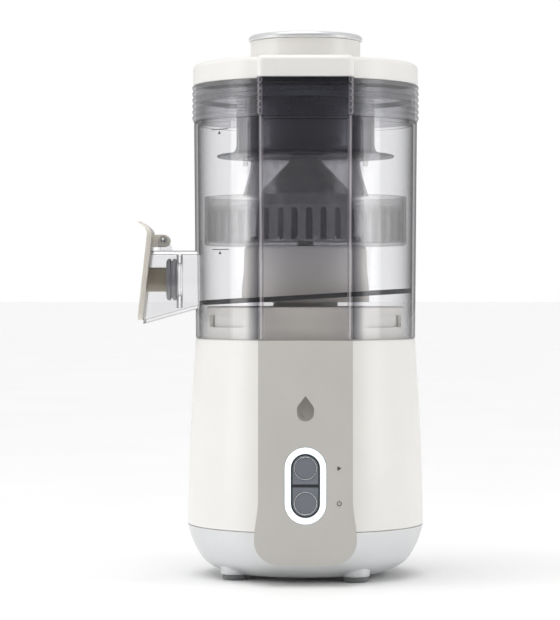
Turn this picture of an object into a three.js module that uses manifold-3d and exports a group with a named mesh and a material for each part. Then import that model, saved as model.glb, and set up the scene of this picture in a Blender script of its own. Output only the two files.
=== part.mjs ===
// A countertop centrifugal juicer: motor base with a button panel, tinted juice bowl with a drip-stop
// spout, spinning filter basket, ribbed lid with a feed chute, and a pusher.
// Millimetres, +Z up. The origin lies on the motor axis at the table, the front faces -Y, the spout -X.
import * as THREE from "three";
import { mergeVertices } from "three/addons/utils/BufferGeometryUtils.js";
import Module from "manifold-3d";

const wasm = await Module();
wasm.setup();

// Fits
const GAP = 0.3; // between pieces that rest on each other
const RUN = 0.7; // between pieces that turn or slide
const EXTRA = 1; // how far a cutting tool runs past the face that it cuts

// Facets
const WIDE = 36; // round of the whole body
const ROUND = 18; // round of a hand's width
const SMALL = 12; // bosses, pins and bores
const CHUTE_FACETS = 28; // chute, pusher and the holes round them

// Heights, from the table up
const FOOT_HEIGHT = 4;
const COVER_HEIGHT = 34;
const SHELL_HEIGHT = 137.5;
const PLINTH_HEIGHT = 23.5;
const BOWL_HEIGHT = 160;
const NECK_HEIGHT = 14.5;
const SKIRT_HEIGHT = 27.3;
const LID_HEIGHT = 15.9;
const STEM_HEIGHT = 16.8;
const CAP_HEIGHT = 4.5;

const coverZ = FOOT_HEIGHT;
const shellZ = coverZ + COVER_HEIGHT;
const bowlZ = shellZ + SHELL_HEIGHT;
const plinthZ = bowlZ + PLINTH_HEIGHT;
const rimZ = bowlZ + BOWL_HEIGHT;
const neckZ = rimZ + NECK_HEIGHT;
const lidZ = rimZ + SKIRT_HEIGHT;
const stemZ = lidZ + LID_HEIGHT;
const capZ = stemZ + STEM_HEIGHT;

// Outline of bowl and lid seen from above: a circle with a flat-fronted bulge
const BOWL_RADIUS = 82.8;
const BULGE_HALF_WIDTH = 33.6;
const BULGE_DEPTH = 7.2; // past the circle
const BULGE_CORNER = 4;
const BOWL_WALL = 2.6;
const BOWL_DECK = 2.2; // the shelf between wall and neck
const BOWL_DRAFT = 1.3; // how much smaller the bowl's radius is at its foot
const NECK_INSET = 3.6; // from the bowl's outline to the neck
const NECK_WALL = 2.2;
const bulgeFront = BOWL_RADIUS + BULGE_DEPTH;
const neckRadius = BOWL_RADIUS - NECK_INSET;
const neckBore = neckRadius - NECK_WALL;

// Base
const SHELL_WALL = 3;
const SHELL_LEAN = 6; // the shell's radius shrinks by this much on its way up
const SHELL_CURVE = 1.7;
const SHELL_STEP = 1.4; // the bowl stands this much outside the shell's top edge
const PLINTH_INSET = 9.3; // from the bowl's outline to the plinth
const PLINTH_HUB_RADIUS = 24;
const PLINTH_HUB_HEIGHT = 5;
const PLINTH_BORE = 16;
const BAYONET_HEIGHT = 9;
const BAYONET_RISE = 8.5; // above the plinth's foot
const BAYONET_LENGTH = 46;
const BAYONET_ANGLES = [35, 145, 215, 325];
const shellTopRadius = BOWL_RADIUS - SHELL_STEP;
const shellFootRadius = shellTopRadius + SHELL_LEAN;
const plinthRadius = BOWL_RADIUS - PLINTH_INSET;

// Bottom cover: how far its profile stands inside the shell's radius, at heights above its floor
const COVER_PROFILE = [
  [25.4, 0],
  [12.8, 7],
  [4.1, 21],
  [0, COVER_HEIGHT],
];
const COVER_WALL = 2.5;
const COVER_LIP = 6;
const BOSS_RADIUS = 22; // the flat boss under the floor
const BOSS_DROP = 2.5;
const FOOT_RADIUS = 9;
const FOOT_INSET = 24.4; // from the shell's foot to the feet's centres
const FOOT_ANGLES = [-145, -55, 35, 125];
const FOOT_PAD = 1.5; // the pad's margin round a foot
const FOOT_PAD_HEIGHT = 9;
const VENTS = 8;
const VENT_LENGTH = 18;
const VENT_WIDTH = 3.4;
const GLAND_RISE = 20; // above the cover's floor
const GLAND_RADIUS = 6.5;
const GLAND_BORE = 3.6;
const GLAND_FLANGE = 9;
const GLAND_FLANGE_DEPTH = 2.6;
const footCircle = shellFootRadius - FOOT_INSET;

// Front panel
const PANEL_WALL = 3;
const PANEL_LEAN = 4; // how much further out its face stands low down
const PANEL_FLARE = 2.9;
const PANEL_BEND_RISE = 41; // above the cover's floor, where the face starts to curve back
const PANEL_FOOT_RISE = 11;
const PANEL_FOOT_CORNER = 18;
const PANEL_TUCK = 10; // how far the foot curves back
const RING_RISE = 34.5; // the light ring's centre above the shell's foot
const RING_WIDTH = 29.6;
const RING_LENGTH = 54.4;
const RING_BAND = 4.4;
const RING_PROUD = 0.4;
const FRAME_WALL = 0.7;
const CROSSBAR = 1.5;
const BUTTON_PROUD = 0.8;
const BUTTON_DEPTH = 7;
const BUTTON_TRAVEL = 1.5;
const STEM_RADIUS = 2.5;
const STEM_LENGTH = 7;
const TRIM_INSET = 0.75;
const TRIM_BAND = 0.8;
const TRIM_DEPTH = 0.7;
const BOARD_WIDTH = 52;
const BOARD_LENGTH = 78;
const BOARD_THICKNESS = 1.6;
const SWITCH_SIZE = 12;
const SWITCH_DEPTH = 6;
const PLUNGER_RADIUS = 2;
const PLUNGER_LENGTH = 1.6;
const panelTopZ = bowlZ - GAP;
const panelBendZ = coverZ + PANEL_BEND_RISE;
const panelFootZ = coverZ + PANEL_FOOT_RISE;
const panelTilt = Math.atan(PANEL_LEAN / (panelTopZ - panelBendZ));
const ringZ = shellZ + RING_RISE;
const switchFront = BUTTON_DEPTH + STEM_LENGTH + BUTTON_TRAVEL + GAP;

// Motor, measured down from the top face of its upper bracket
const POST_LENGTH = 38;
const POST_RADIUS = 6;
const POST_MARGIN = 11; // from the bracket's edge to the posts
const POST_ANGLES = [90, 210, 330];
const ISOLATOR_HEIGHT = 7.4;
const ISOLATOR_RADIUS = 8;
const BRACKET_PLATE = 4;
const BRACKET_MARGIN = 1; // past the stator
const BRACKET_LEG_RADIUS = 3.5;
const BRACKET_LEG_INSET = 4.5; // from the stator's edge
const BRACKET_LEG_ANGLES = [-18, 18, 162, 198];
const BEARING_RADIUS = 11;
const BEARING_HEIGHT = 7;
const BEARING_SEAT_WALL = 4;
const SHAFT_RADIUS = 5;
const FAN_SPACE = 18;
const FAN_MARGIN = 3; // from the fan to the bracket's legs
const FAN_HEIGHT = 8;
const FAN_BLADES = 9;
const END_TURN = 8;
const CORE_LENGTH = 44;
const CORE_RADIUS = 26.3;
const CORE_SLOTS = 12;
const CORE_SLOT_INSET = 4.8; // from the core's edge
const CORE_SLOT_RADIUS = 2.3;
const STATOR_YOKE = 9.5; // from the coils' circle to the stator's edge
const STATOR_SHORTER = 4; // the stator is this much shorter than the rotor's core
const COIL_RADIUS = 4.6;
const COIL_INSET = 9.2; // from the core's edge to the coils' circle
const COIL_REACH = 7; // how far the coil's ends stand off the stator
const COMMUTATOR_RADIUS = 14;
const COMMUTATOR_LENGTH = 14;
const BRUSH_LENGTH = 18;
const BRUSH_WIDTH = 9;
const coreSlotCircle = CORE_RADIUS - CORE_SLOT_INSET;
const coilCircle = CORE_RADIUS + COIL_INSET;
const statorRadius = coilCircle + STATOR_YOKE;
const bracketRadius = statorRadius + BRACKET_MARGIN;
const legCircle = statorRadius - BRACKET_LEG_INSET;
const postCircle = bracketRadius + POST_MARGIN;
const fanRadius = legCircle - BRACKET_LEG_RADIUS - FAN_MARGIN;
const postFootZ = plinthZ - SHELL_WALL - POST_LENGTH;
const motorZ = postFootZ - ISOLATOR_HEIGHT - 2 * GAP;
const fanTop = -BRACKET_PLATE - BEARING_SEAT_WALL;
const coreTop = -FAN_SPACE - END_TURN - RUN;
const coreFoot = coreTop - CORE_LENGTH;
const commutatorTop = coreFoot - END_TURN - RUN;
const commutatorFoot = commutatorTop - COMMUTATOR_LENGTH;
const lowerPlateTop = commutatorFoot - BEARING_SEAT_WALL;
const shaftFoot = lowerPlateTop - BRACKET_PLATE - BEARING_HEIGHT - GAP;
const statorTop = coreTop - STATOR_SHORTER / 2;
const statorFoot = coreFoot + STATOR_SHORTER / 2;

// Drive coupling
const COUPLING_RISE = 2.6; // above the plinth's hub
const COUPLING_LENGTH = 22;
const COUPLING_RADIUS = 12;
const COUPLING_LOBE = 1.6;
const COUPLING_LOBES = 6;
const couplingZ = plinthZ + PLINTH_HUB_HEIGHT + COUPLING_RISE;

// Juice floor and column
const FLOOR_RISE = 32; // above the bowl's foot, on the axis
const FLOOR_SLOPE = 0.058; // falls towards the spout
const FLOOR_THICKNESS = 2.5;
const SEAL_WIDTH = 3;
const SEAL_HEIGHT = 3.4;
const COLUMN_RADIUS = 46.4;
const COLUMN_DRAFT = 1.1;
const COLUMN_WALL = 3;
const COLUMN_HEIGHT = 36;
const COLUMN_SKIRT = 5.2;
const SPINDLE_RADIUS = 6;
const BUSH_WALL = 3.4;
const BUSH_HEIGHT = 4;
const LIP_SEAL_HEIGHT = 3;
const BUSH_BOSS_WALL = 3.5;
const floorZ = bowlZ + FLOOR_RISE;
const columnZ = floorZ + COLUMN_HEIGHT;
const bushRadius = SPINDLE_RADIUS + GAP + BUSH_WALL;
const bossHeight = BUSH_HEIGHT + LIP_SEAL_HEIGHT + GAP;

// Filter basket
const BASKET_MARGIN = 1.9; // from the basket to the bowl's neck, so that it lifts out
const BASKET_WALL = 1.8;
const BASKET_HEIGHT = 36.2;
const BASKET_FLOOR = 2.5;
const BASKET_BAND = 9.7; // plain band over the slots
const BASKET_SLOTS = 45;
const BASKET_SLOT_WIDTH = 5.6;
const MESH_THICKNESS = 0.7;
const CUTTER_RADIUS = 42;
const CUTTER_THICKNESS = 1.6;
const CUTTER_TEETH = 18;
const CUTTER_TOOTH = 2.2;
const CONE_WALL = 2;
const CONE_PEAK = 5.5; // above the chute's mouth
const CONE_PROFILE = [
  [37, 0],
  [36.5, 0.22],
  [33, 0.52],
  [22, 0.72],
  [13, 0.86],
  [9, 1],
];
const basketRadius = neckBore - BASKET_MARGIN;
const basketZ = columnZ + RUN;
const basketTopZ = basketZ + BASKET_HEIGHT;
const cutterZ = basketZ + BASKET_FLOOR + GAP;

// Lid
const LID_OVERHANG = 0.6; // over the bowl's outline
const LID_WALL = 2.6;
const LID_EDGE = 3;
const LID_DECK = 2.5;
const LID_DECK_DROP = 3.3; // the deck lies this much under the white cover
const LUG_ANGLES = [20, 110, 200, 290];
const LUG_LENGTH = 16;
const LUG_HEIGHT = 3;
const LUG_PROUD = 0.9;
const LID_SEAL_HEIGHT = 3.4;
const HOPPER_DROP = 26; // its rim lies this much under the bowl's rim
const HOPPER_MARGIN = 10.3; // from the chute to the hopper's wall
const HOPPER_WALL = 2;
const HOPPER_RIM_INSET = 11; // from the bowl's neck to the hopper's rim
const HOPPER_RIM = 3;
const CHUTE_RADIUS = 41;
const CHUTE_WALL = 2.2;
const CHUTE_FLANGE = 6;
const GUIDE_INSET = 0.8; // from the chute to the guide's neck
const GUIDE_FLARE = 6.5;
const GUIDE_WALL = 1.8;
const GUIDE_FLANGE = 7;
const PUSHER_WALL = 2.5;
const PUSHER_GAP = 0.6;
const PUSHER_SHORTER = 12; // the pusher ends this much over the chute's mouth
const PUSHER_SHOULDER = 1.9; // the stem rests this far out on the chute's rim
const CAP_OVERHANG = 1.6;
const CAP_EDGE = 3;
const CAP_RING_HEIGHT = 5;
const lidDeckZ = lidZ - LID_DECK_DROP;
const hopperZ = rimZ - HOPPER_DROP;
const chuteBore = CHUTE_RADIUS - CHUTE_WALL;
const hopperRadius = CHUTE_RADIUS + HOPPER_MARGIN;
const hopperRimRadius = neckBore - HOPPER_RIM_INSET;
const guideRadius = CHUTE_RADIUS - GUIDE_INSET;
const pusherRadius = chuteBore - PUSHER_GAP;
const stemRadius = chuteBore + PUSHER_SHOULDER;
const capRadius = stemRadius + CAP_OVERHANG;
const pusherFootZ = hopperZ + PUSHER_SHORTER;

// Spout, heights above the bowl's foot and reaches past the bowl's outline
const SPOUT_HALF_WIDTH = 19;
const SPOUT_WALL = 2.6;
const SPOUT_ROUND = 5;
const SPOUT_TOP = 64.8;
const SPOUT_ROOT_FOOT = 21.1;
const SPOUT_MOUTH_FOOT = 10.8;
const SPOUT_TOP_REACH = 31;
const SPOUT_FOOT_REACH = 37;
const SEAT_REACH = 12.5;
const SEAT_THICKNESS = 3;
const SEAT_LIP = 3; // how far the plug covers the seat
const PLUG_RISE = 43.5;
const PLUG_MARGIN = 0.9; // from the plug to the spout's sides
const PLUG_THICKNESS = 7.4;
const PLUG_STEM_RADIUS = 9;
const HINGE_RISE = 72.3;
const HINGE_REACH = 22.5;
const HINGE_PIN_RADIUS = 1.5;
const HINGE_BRACKET_RADIUS = 3.4;
const HINGE_BRACKET_OUT = 12.5;
const HINGE_BRACKET_WALL = 3;
const HINGE_PIN_HALF = 14;
const FLAP_MARGIN = 1.5; // past the spout's sides
const FLAP_THICKNESS = 3.7;
const FLAP_FOOT_RISE = 13.5;
const FLAP_CORNER = 6;
const FLAP_TAB_RISE = 86.5;
const FLAP_TAB_LEAN = 9;
const FLAP_CLIP_RADIUS = 4.5;
const SPRING_RADIUS = 3.2;
const SPRING_HALF = 4.5;
const spoutX = -BOWL_RADIUS;
const plugZ = bowlZ + PLUG_RISE;
const seatX = spoutX - SEAT_REACH;
const plugRadius = SPOUT_HALF_WIDTH - SPOUT_WALL - PLUG_MARGIN;
const flapHalfWidth = SPOUT_HALF_WIDTH + FLAP_MARGIN;
const hingeX = spoutX - HINGE_REACH;
const hingeZ = bowlZ + HINGE_RISE;
const mouthTop = new THREE.Vector2(spoutX - SPOUT_TOP_REACH, bowlZ + SPOUT_TOP);
const mouthFoot = new THREE.Vector2(spoutX - SPOUT_FOOT_REACH, bowlZ + SPOUT_MOUTH_FOOT);

// ---- Solids ----------------------------------------------------------------------------------

// A closed three.js geometry as a manifold-3d solid whose faces point out.
function solid(geometry) {
  const bare = geometry.clone();
  bare.deleteAttribute("normal");
  bare.deleteAttribute("uv");
  const merged = mergeVertices(bare, 1e-4);
  const vertProperties = new Float32Array(merged.attributes.position.array);
  const triVerts = new Uint32Array(merged.index.array);
  const made = new wasm.Manifold(new wasm.Mesh({ numProp: 3, vertProperties, triVerts }));
  if (made.volume() >= 0) return made;
  triVerts.reverse();
  return new wasm.Manifold(new wasm.Mesh({ numProp: 3, vertProperties, triVerts }));
}

// A manifold-3d solid as a three.js geometry.
function geometryOf(made) {
  const mesh = made.getMesh();
  const geometry = new THREE.BufferGeometry();
  geometry.setAttribute("position", new THREE.Float32BufferAttribute(mesh.vertProperties, 3));
  geometry.setIndex(Array.from(mesh.triVerts));
  return geometry;
}

function join(...geometries) {
  return geometryOf(geometries.map(solid).reduce((all, next) => all.add(next)));
}

function cut(body, ...tools) {
  return geometryOf(tools.map(solid).reduce((rest, tool) => rest.subtract(tool), solid(body)));
}

function common(a, b) {
  return geometryOf(solid(a).intersect(solid(b)));
}

// A body turned round Z from [radius, height] points. A profile off the axis closes on itself.
function turned(profile, segments) {
  const points = profile.map(([radius, height]) => new THREE.Vector2(radius, height));
  if (points[0].x > 0) points.push(points[0].clone());
  return new THREE.LatheGeometry(points, segments).rotateX(Math.PI / 2);
}

function rod(radius, from, to, segments) {
  const geometry = new THREE.CylinderGeometry(radius, radius, to - from, segments);
  return geometry.rotateX(Math.PI / 2).translate(0, 0, (from + to) / 2);
}

function ring(radius, bore, from, to, segments) {
  return turned([[bore, from], [radius, from], [radius, to], [bore, to]], segments);
}

function box(x, y, z) {
  return new THREE.BoxGeometry(x, y, z);
}

// Points of a round stretch, both ends included; angles in degrees.
function arc(x, y, radius, from, to, steps) {
  const points = [];
  for (let i = 0; i <= steps; i += 1) {
    const angle = THREE.MathUtils.degToRad(from + ((to - from) * i) / steps);
    points.push(new THREE.Vector2(x + radius * Math.cos(angle), y + radius * Math.sin(angle)));
  }
  return points;
}

const AXES = {
  x: new THREE.Matrix4().makeBasis(
    new THREE.Vector3(0, 1, 0), new THREE.Vector3(0, 0, 1), new THREE.Vector3(1, 0, 0)),
  y: new THREE.Matrix4().makeBasis(
    new THREE.Vector3(1, 0, 0), new THREE.Vector3(0, 0, 1), new THREE.Vector3(0, -1, 0)),
  z: new THREE.Matrix4(),
};

// An outline drawn across an axis and extruded along it; bevel rounds its two end edges.
function extruded(outline, axis, from, to, bevel = 0) {
  const start = axis === "y" ? -to : from;
  const geometry = new THREE.ExtrudeGeometry(new THREE.Shape(outline), {
    depth: to - from - 2 * bevel,
    bevelEnabled: bevel > 0,
    bevelThickness: bevel,
    bevelSize: bevel,
    bevelOffset: -bevel,
    bevelSegments: 2,
    curveSegments: 4,
  });
  return geometry.translate(0, 0, start + bevel).applyMatrix4(AXES[axis]);
}

// Copies of one geometry set round Z at the given angles in degrees.
function around(geometry, angles) {
  return angles.map((angle) => geometry.clone().rotateZ(THREE.MathUtils.degToRad(angle)));
}

// Evenly spaced angles of a full turn.
function fullTurn(count) {
  return Array.from({ length: count }, (_, i) => (i * 360) / count);
}

// ---- Shared outlines -------------------------------------------------------------------------

// The bowl's and the lid's outline, moved in by inset (out when it is negative).
function bodyOutline(inset) {
  const radius = BOWL_RADIUS - inset;
  const half = BULGE_HALF_WIDTH - inset;
  const front = bulgeFront - inset;
  const corner = Math.max(BULGE_CORNER - inset, 0.5);
  const meet = THREE.MathUtils.radToDeg(Math.acos(half / radius));
  return [
    ...arc(0, 0, radius, -meet, 180 + meet, WIDE - 4),
    ...arc(-half + corner, -front + corner, corner, 180, 270, 2),
    ...arc(half - corner, -front + corner, corner, 270, 360, 2),
  ];
}

// How much the bowl's draft scales its outline at a height.
function draftAt(z) {
  return 1 - (BOWL_DRAFT / BOWL_RADIUS) * ((rimZ - z) / BOWL_HEIGHT);
}

// A prism of the bowl's outline that follows its draft.
function bowlPrism(inset, from, to) {
  const geometry = extruded(bodyOutline(inset), "z", from, to);
  const position = geometry.attributes.position;
  for (let i = 0; i < position.count; i += 1) {
    const scale = draftAt(position.getZ(i));
    position.setX(i, position.getX(i) * scale);
    position.setY(i, position.getY(i) * scale);
  }
  return geometry;
}

function shellRadius(z) {
  const up = THREE.MathUtils.clamp((z - shellZ) / SHELL_HEIGHT, 0, 1);
  return shellFootRadius - SHELL_LEAN * up ** SHELL_CURVE;
}

// [radius, height] points up the shell's outside, moved in by inset.
function shellSide(inset, from, to) {
  const steps = 3;
  const side = [];
  for (let i = 0; i <= steps; i += 1) {
    const z = from + ((to - from) * i) / steps;
    side.push([shellRadius(z) - inset, z]);
  }
  return side;
}

// [radius, height] points up the bottom cover's outside.
function coverSide() {
  const knots = COVER_PROFILE.map(
    ([inset, rise]) => new THREE.Vector2(shellFootRadius - inset, coverZ + rise));
  return new THREE.SplineCurve(knots).getPoints(5).map((point) => [point.x, point.y]);
}

function stadium(width, length) {
  const radius = width / 2;
  const middle = length / 2 - radius;
  return [...arc(0, middle, radius, 0, 180, 9), ...arc(0, -middle, radius, 180, 360, 9)];
}

// ---- Materials -------------------------------------------------------------------------------

function paint(color, roughness, metalness = 0) {
  return new THREE.MeshStandardMaterial({ color, roughness, metalness });
}

const whitePlastic = paint("#f4f2ee", 0.35);
const silver = paint("#c8c9cb", 0.35, 0.8);
const greige = paint("#c6c2bb", 0.4);
const lightRing = paint("#e6eff6", 0.3);
const darkPlastic = paint("#35383e", 0.45);
const buttonGrey = paint("#70747c", 0.45);
const chrome = paint("#d6d8da", 0.15, 1);
const rubberGrey = paint("#8b8c8e", 0.8);
const rubberBlack = paint("#1f2124", 0.8);
const boardGreen = paint("#2f6b46", 0.6);
const steel = paint("#a7a9ac", 0.35, 0.9);
const laminated = paint("#5f6468", 0.5, 0.7);
const copper = paint("#b4693a", 0.35, 0.9);
const fanPlastic = paint("#2b2d31", 0.5);
const tinted = paint("#6d7078", 0.1);
const clearMilky = paint("#c9cacb", 0.2);
const lightGrey = paint("#c9c7c3", 0.4);
const brass = paint("#b9964e", 0.3, 0.9);
const darkCone = paint("#2a2b30", 0.35);
const cream = paint("#dedbd4", 0.4);
const plugBeige = paint("#a39a88", 0.7);
const plugGrey = paint("#9a9a9e", 0.7);

const juicer = new THREE.Group();

// Names a geometry and places it in a group.
function add(group, name, geometry, material) {
  const mesh = new THREE.Mesh(geometry, material);
  mesh.name = name;
  group.add(mesh);
  return mesh;
}

// ---- Base ------------------------------------------------------------------------------------

function baseShell() {
  const shoulder = bowlZ - SHELL_WALL;
  const plate = plinthZ - SHELL_WALL;
  const body = turned([
    ...shellSide(0, shellZ + GAP, bowlZ),
    [plinthRadius, bowlZ],
    [plinthRadius, plinthZ],
    [PLINTH_HUB_RADIUS, plinthZ],
    [PLINTH_HUB_RADIUS, plinthZ + PLINTH_HUB_HEIGHT],
    [PLINTH_BORE, plinthZ + PLINTH_HUB_HEIGHT],
    [PLINTH_BORE, plate],
    [plinthRadius - SHELL_WALL, plate],
    [plinthRadius - SHELL_WALL, shoulder],
    ...shellSide(SHELL_WALL, shellZ + GAP, shoulder).reverse(),
  ], WIDE);
  const post = rod(POST_RADIUS, postFootZ, plate + EXTRA, SMALL).translate(postCircle, 0, 0);
  const window = box(2 * PLINTH_INSET, BAYONET_LENGTH, BAYONET_HEIGHT)
    .translate(plinthRadius, 0, bowlZ + BAYONET_RISE + BAYONET_HEIGHT / 2);
  const holeDepth = 3 * PANEL_WALL + 2 * SHELL_WALL;
  const panelHole = box(RING_WIDTH + 2 * RING_BAND, holeDepth, RING_LENGTH + 2 * RING_BAND)
    .translate(0, -shellRadius(ringZ), ringZ);
  const held = join(body, ...around(post, POST_ANGLES));
  return cut(held, panelHole, ...around(window, BAYONET_ANGLES));
}

function bottomCover() {
  const outside = coverSide();
  const top = shellZ;
  const inside = outside.map(([radius, z]) =>
    [radius - COVER_WALL, Math.min(z + 0.6 * COVER_WALL, top)]);
  inside[0] = [outside[0][0] - COVER_WALL, coverZ + COVER_WALL];
  const bowl = turned([[0, coverZ], ...outside, ...inside.reverse(), [0, coverZ + COVER_WALL]], WIDE);
  const lipRadius = shellFootRadius - SHELL_WALL - RUN;
  const lip = turned([
    [lipRadius - COVER_WALL, top - COVER_WALL],
    [lipRadius + COVER_WALL, top - COVER_WALL],
    [lipRadius + COVER_WALL, top],
    [lipRadius, top],
    [lipRadius, top + COVER_LIP],
    [lipRadius - COVER_WALL, top + COVER_LIP],
  ], WIDE);
  const boss = rod(BOSS_RADIUS, coverZ - BOSS_DROP, coverZ + COVER_WALL / 2, ROUND);
  const pad = rod(FOOT_RADIUS + FOOT_PAD, coverZ, coverZ + FOOT_PAD_HEIGHT, SMALL)
    .translate(footCircle, 0, 0);
  const glandBoss = extruded(arc(0, coverZ + GLAND_RISE, GLAND_FLANGE + FOOT_PAD, 0, 330, 11), "y",
    shellFootRadius - 4 * COVER_WALL, shellFootRadius);
  const vent = box(VENT_LENGTH, VENT_WIDTH, 4 * COVER_WALL)
    .translate(BOSS_RADIUS + VENT_LENGTH / 2 + BOSS_DROP, 0, coverZ);
  const glandHole = extruded(arc(0, coverZ + GLAND_RISE, GLAND_RADIUS + RUN, 0, 330, 11), "y",
    shellFootRadius - 9 * COVER_WALL, shellFootRadius + EXTRA);
  const body = join(bowl, lip, boss, glandBoss, ...around(pad, FOOT_ANGLES));
  return cut(body, glandHole, ...around(vent, fullTurn(VENTS)));
}

function foot() {
  const bevel = 1;
  return turned([
    [0, 0],
    [FOOT_RADIUS - bevel, 0],
    [FOOT_RADIUS, bevel],
    [FOOT_RADIUS, FOOT_HEIGHT - GAP],
    [0, FOOT_HEIGHT - GAP],
  ], SMALL);
}

function cordGland() {
  const outer = shellFootRadius + GAP;
  const body = turned([
    [GLAND_BORE, -8 * COVER_WALL],
    [GLAND_RADIUS, -8 * COVER_WALL],
    [GLAND_RADIUS, 0],
    [GLAND_FLANGE, 0],
    [GLAND_FLANGE - 1, GLAND_FLANGE_DEPTH],
    [GLAND_BORE, GLAND_FLANGE_DEPTH],
  ], SMALL);
  return body.rotateX(-Math.PI / 2).translate(0, outer, coverZ + GLAND_RISE);
}

function buildBase() {
  add(juicer, "base_shell", baseShell(), whitePlastic);
  add(juicer, "bottom_cover", bottomCover(), silver);
  add(juicer, "cord_gland", cordGland(), rubberBlack);
  FOOT_ANGLES.forEach((angle, i) => {
    const mesh = add(juicer, `foot_${i + 1}`, foot(), rubberGrey);
    const turn = THREE.MathUtils.degToRad(angle);
    mesh.position.set(footCircle * Math.cos(turn), footCircle * Math.sin(turn), 0);
  });
  const sealZ = plinthZ - EXTRA;
  const seal = ring(PLINTH_BORE - GAP, SHAFT_RADIUS + RUN, sealZ, sealZ + PLINTH_HUB_HEIGHT, ROUND);
  add(juicer, "deck_seal", seal, rubberBlack);
  const interlock = box(8, 22, PLINTH_HEIGHT / 2);
  interlock.translate(plinthRadius - SHELL_WALL - 8, 0, plinthZ - SHELL_WALL - GAP - PLINTH_HEIGHT / 4);
  add(juicer, "interlock_switch", interlock.rotateZ(Math.PI), darkPlastic);
}

// ---- Front panel and buttons -----------------------------------------------------------------

// The panel's face seen from the front, moved in by inset.
function panelOutline(inset) {
  const half = BULGE_HALF_WIDTH - inset;
  const low = half + PANEL_FLARE;
  const corner = PANEL_FOOT_CORNER - inset;
  const footZ = panelFootZ + inset;
  return [
    ...arc(low - corner, footZ + corner, corner, -90, 0, 5),
    new THREE.Vector2(half, panelBendZ + PANEL_FOOT_CORNER),
    new THREE.Vector2(half, panelTopZ - inset),
    new THREE.Vector2(-half, panelTopZ - inset),
    new THREE.Vector2(-half, panelBendZ + PANEL_FOOT_CORNER),
    ...arc(-low + corner, footZ + corner, corner, 180, 270, 5),
  ];
}

// The panel seen from the side, moved back by inset.
function panelSide(inset) {
  const low = -bulgeFront - PANEL_LEAN;
  const curve = new THREE.QuadraticBezierCurve(
    new THREE.Vector2(low, panelBendZ),
    new THREE.Vector2(low, (panelBendZ + panelFootZ) / 2),
    new THREE.Vector2(low + PANEL_TUCK, panelFootZ),
  );
  const face = [new THREE.Vector2(-bulgeFront, panelTopZ), ...curve.getPoints(5)];
  const back = -shellTopRadius / 2;
  return [
    ...face.map((point) => new THREE.Vector2(point.x + inset, point.y)),
    new THREE.Vector2(back, panelFootZ),
    new THREE.Vector2(back, panelTopZ),
  ];
}

function panelBlock(inset) {
  const half = BULGE_HALF_WIDTH + PANEL_FLARE + EXTRA;
  const front = extruded(panelOutline(inset), "y", -bulgeFront - 2 * PANEL_TUCK, -shellTopRadius / 2);
  return common(front, extruded(panelSide(inset), "x", -half, half));
}

function frontPanel() {
  const body = turned([
    [0, coverZ],
    ...coverSide().map(([radius, z]) => [radius + GAP, z]),
    ...shellSide(-GAP, shellZ, bowlZ),
    [0, bowlZ],
  ], WIDE);
  const hole = extruded(stadium(RING_WIDTH + 2 * GAP, RING_LENGTH + 2 * GAP), "y",
    -bulgeFront - 2 * PANEL_TUCK, -shellTopRadius / 2).translate(0, 0, ringZ);
  return cut(panelBlock(0), body, panelBlock(PANEL_WALL), hole);
}

// One button's face, upper half of the inner stadium, moved in by inset.
function buttonOutline(inset) {
  const radius = RING_WIDTH / 2 - RING_BAND - GAP;
  const middle = RING_LENGTH / 2 - RING_WIDTH / 2;
  const size = radius - inset;
  const low = CROSSBAR / 2 + inset - FRAME_WALL;
  return [
    ...arc(0, middle, size, 0, 180, 9),
    new THREE.Vector2(-size, low),
    new THREE.Vector2(size, low),
  ];
}

function button(mirror) {
  const middle = RING_LENGTH / 2 - RING_WIDTH / 2;
  const inset = FRAME_WALL + GAP;
  const face = buttonOutline(inset).map((point) => new THREE.Vector2(point.x, point.y * mirror));
  const key = extruded(face, "y", -BUTTON_PROUD, BUTTON_DEPTH);
  const stem = extruded(arc(0, mirror * middle, STEM_RADIUS, 0, 330, 11), "y",
    BUTTON_DEPTH - EXTRA, BUTTON_DEPTH + STEM_LENGTH);
  const outer = RING_WIDTH / 2 - RING_BAND - GAP - inset - TRIM_INSET + GAP;
  const groove = cut(
    extruded(arc(0, mirror * middle, outer, 0, 345, 23), "y",
      -3 * BUTTON_PROUD, TRIM_DEPTH - BUTTON_PROUD + GAP),
    extruded(arc(0, mirror * middle, outer - TRIM_BAND - 2 * GAP, 0, 345, 23), "y",
      -4 * BUTTON_PROUD, TRIM_DEPTH));
  return cut(join(key, stem), groove);
}

function buttonTrim(mirror) {
  const middle = RING_LENGTH / 2 - RING_WIDTH / 2;
  const outer = RING_WIDTH / 2 - RING_BAND - 2 * GAP - FRAME_WALL - TRIM_INSET;
  const disc = extruded(arc(0, mirror * middle, outer, 0, 345, 23), "y",
    -BUTTON_PROUD, TRIM_DEPTH - BUTTON_PROUD);
  const bore = extruded(arc(0, mirror * middle, outer - TRIM_BAND, 0, 345, 23), "y",
    -2 * BUTTON_PROUD, TRIM_DEPTH);
  return cut(disc, bore);
}

function buttonFrame() {
  const outer = stadium(RING_WIDTH - 2 * RING_BAND - 2 * GAP, RING_LENGTH - 2 * RING_BAND - 2 * GAP);
  const body = extruded(outer, "y", 0, BUTTON_DEPTH - 1);
  const flange = extruded(stadium(RING_WIDTH + RING_BAND, RING_LENGTH + RING_BAND), "y",
    PANEL_WALL + GAP, PANEL_WALL + GAP + 1.2);
  const holes = [1, -1].map((mirror) => {
    const face = buttonOutline(FRAME_WALL).map((point) => new THREE.Vector2(point.x, point.y * mirror));
    return extruded(face, "y", -EXTRA, 2 * BUTTON_DEPTH);
  });
  return cut(join(body, flange), ...holes);
}

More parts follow.
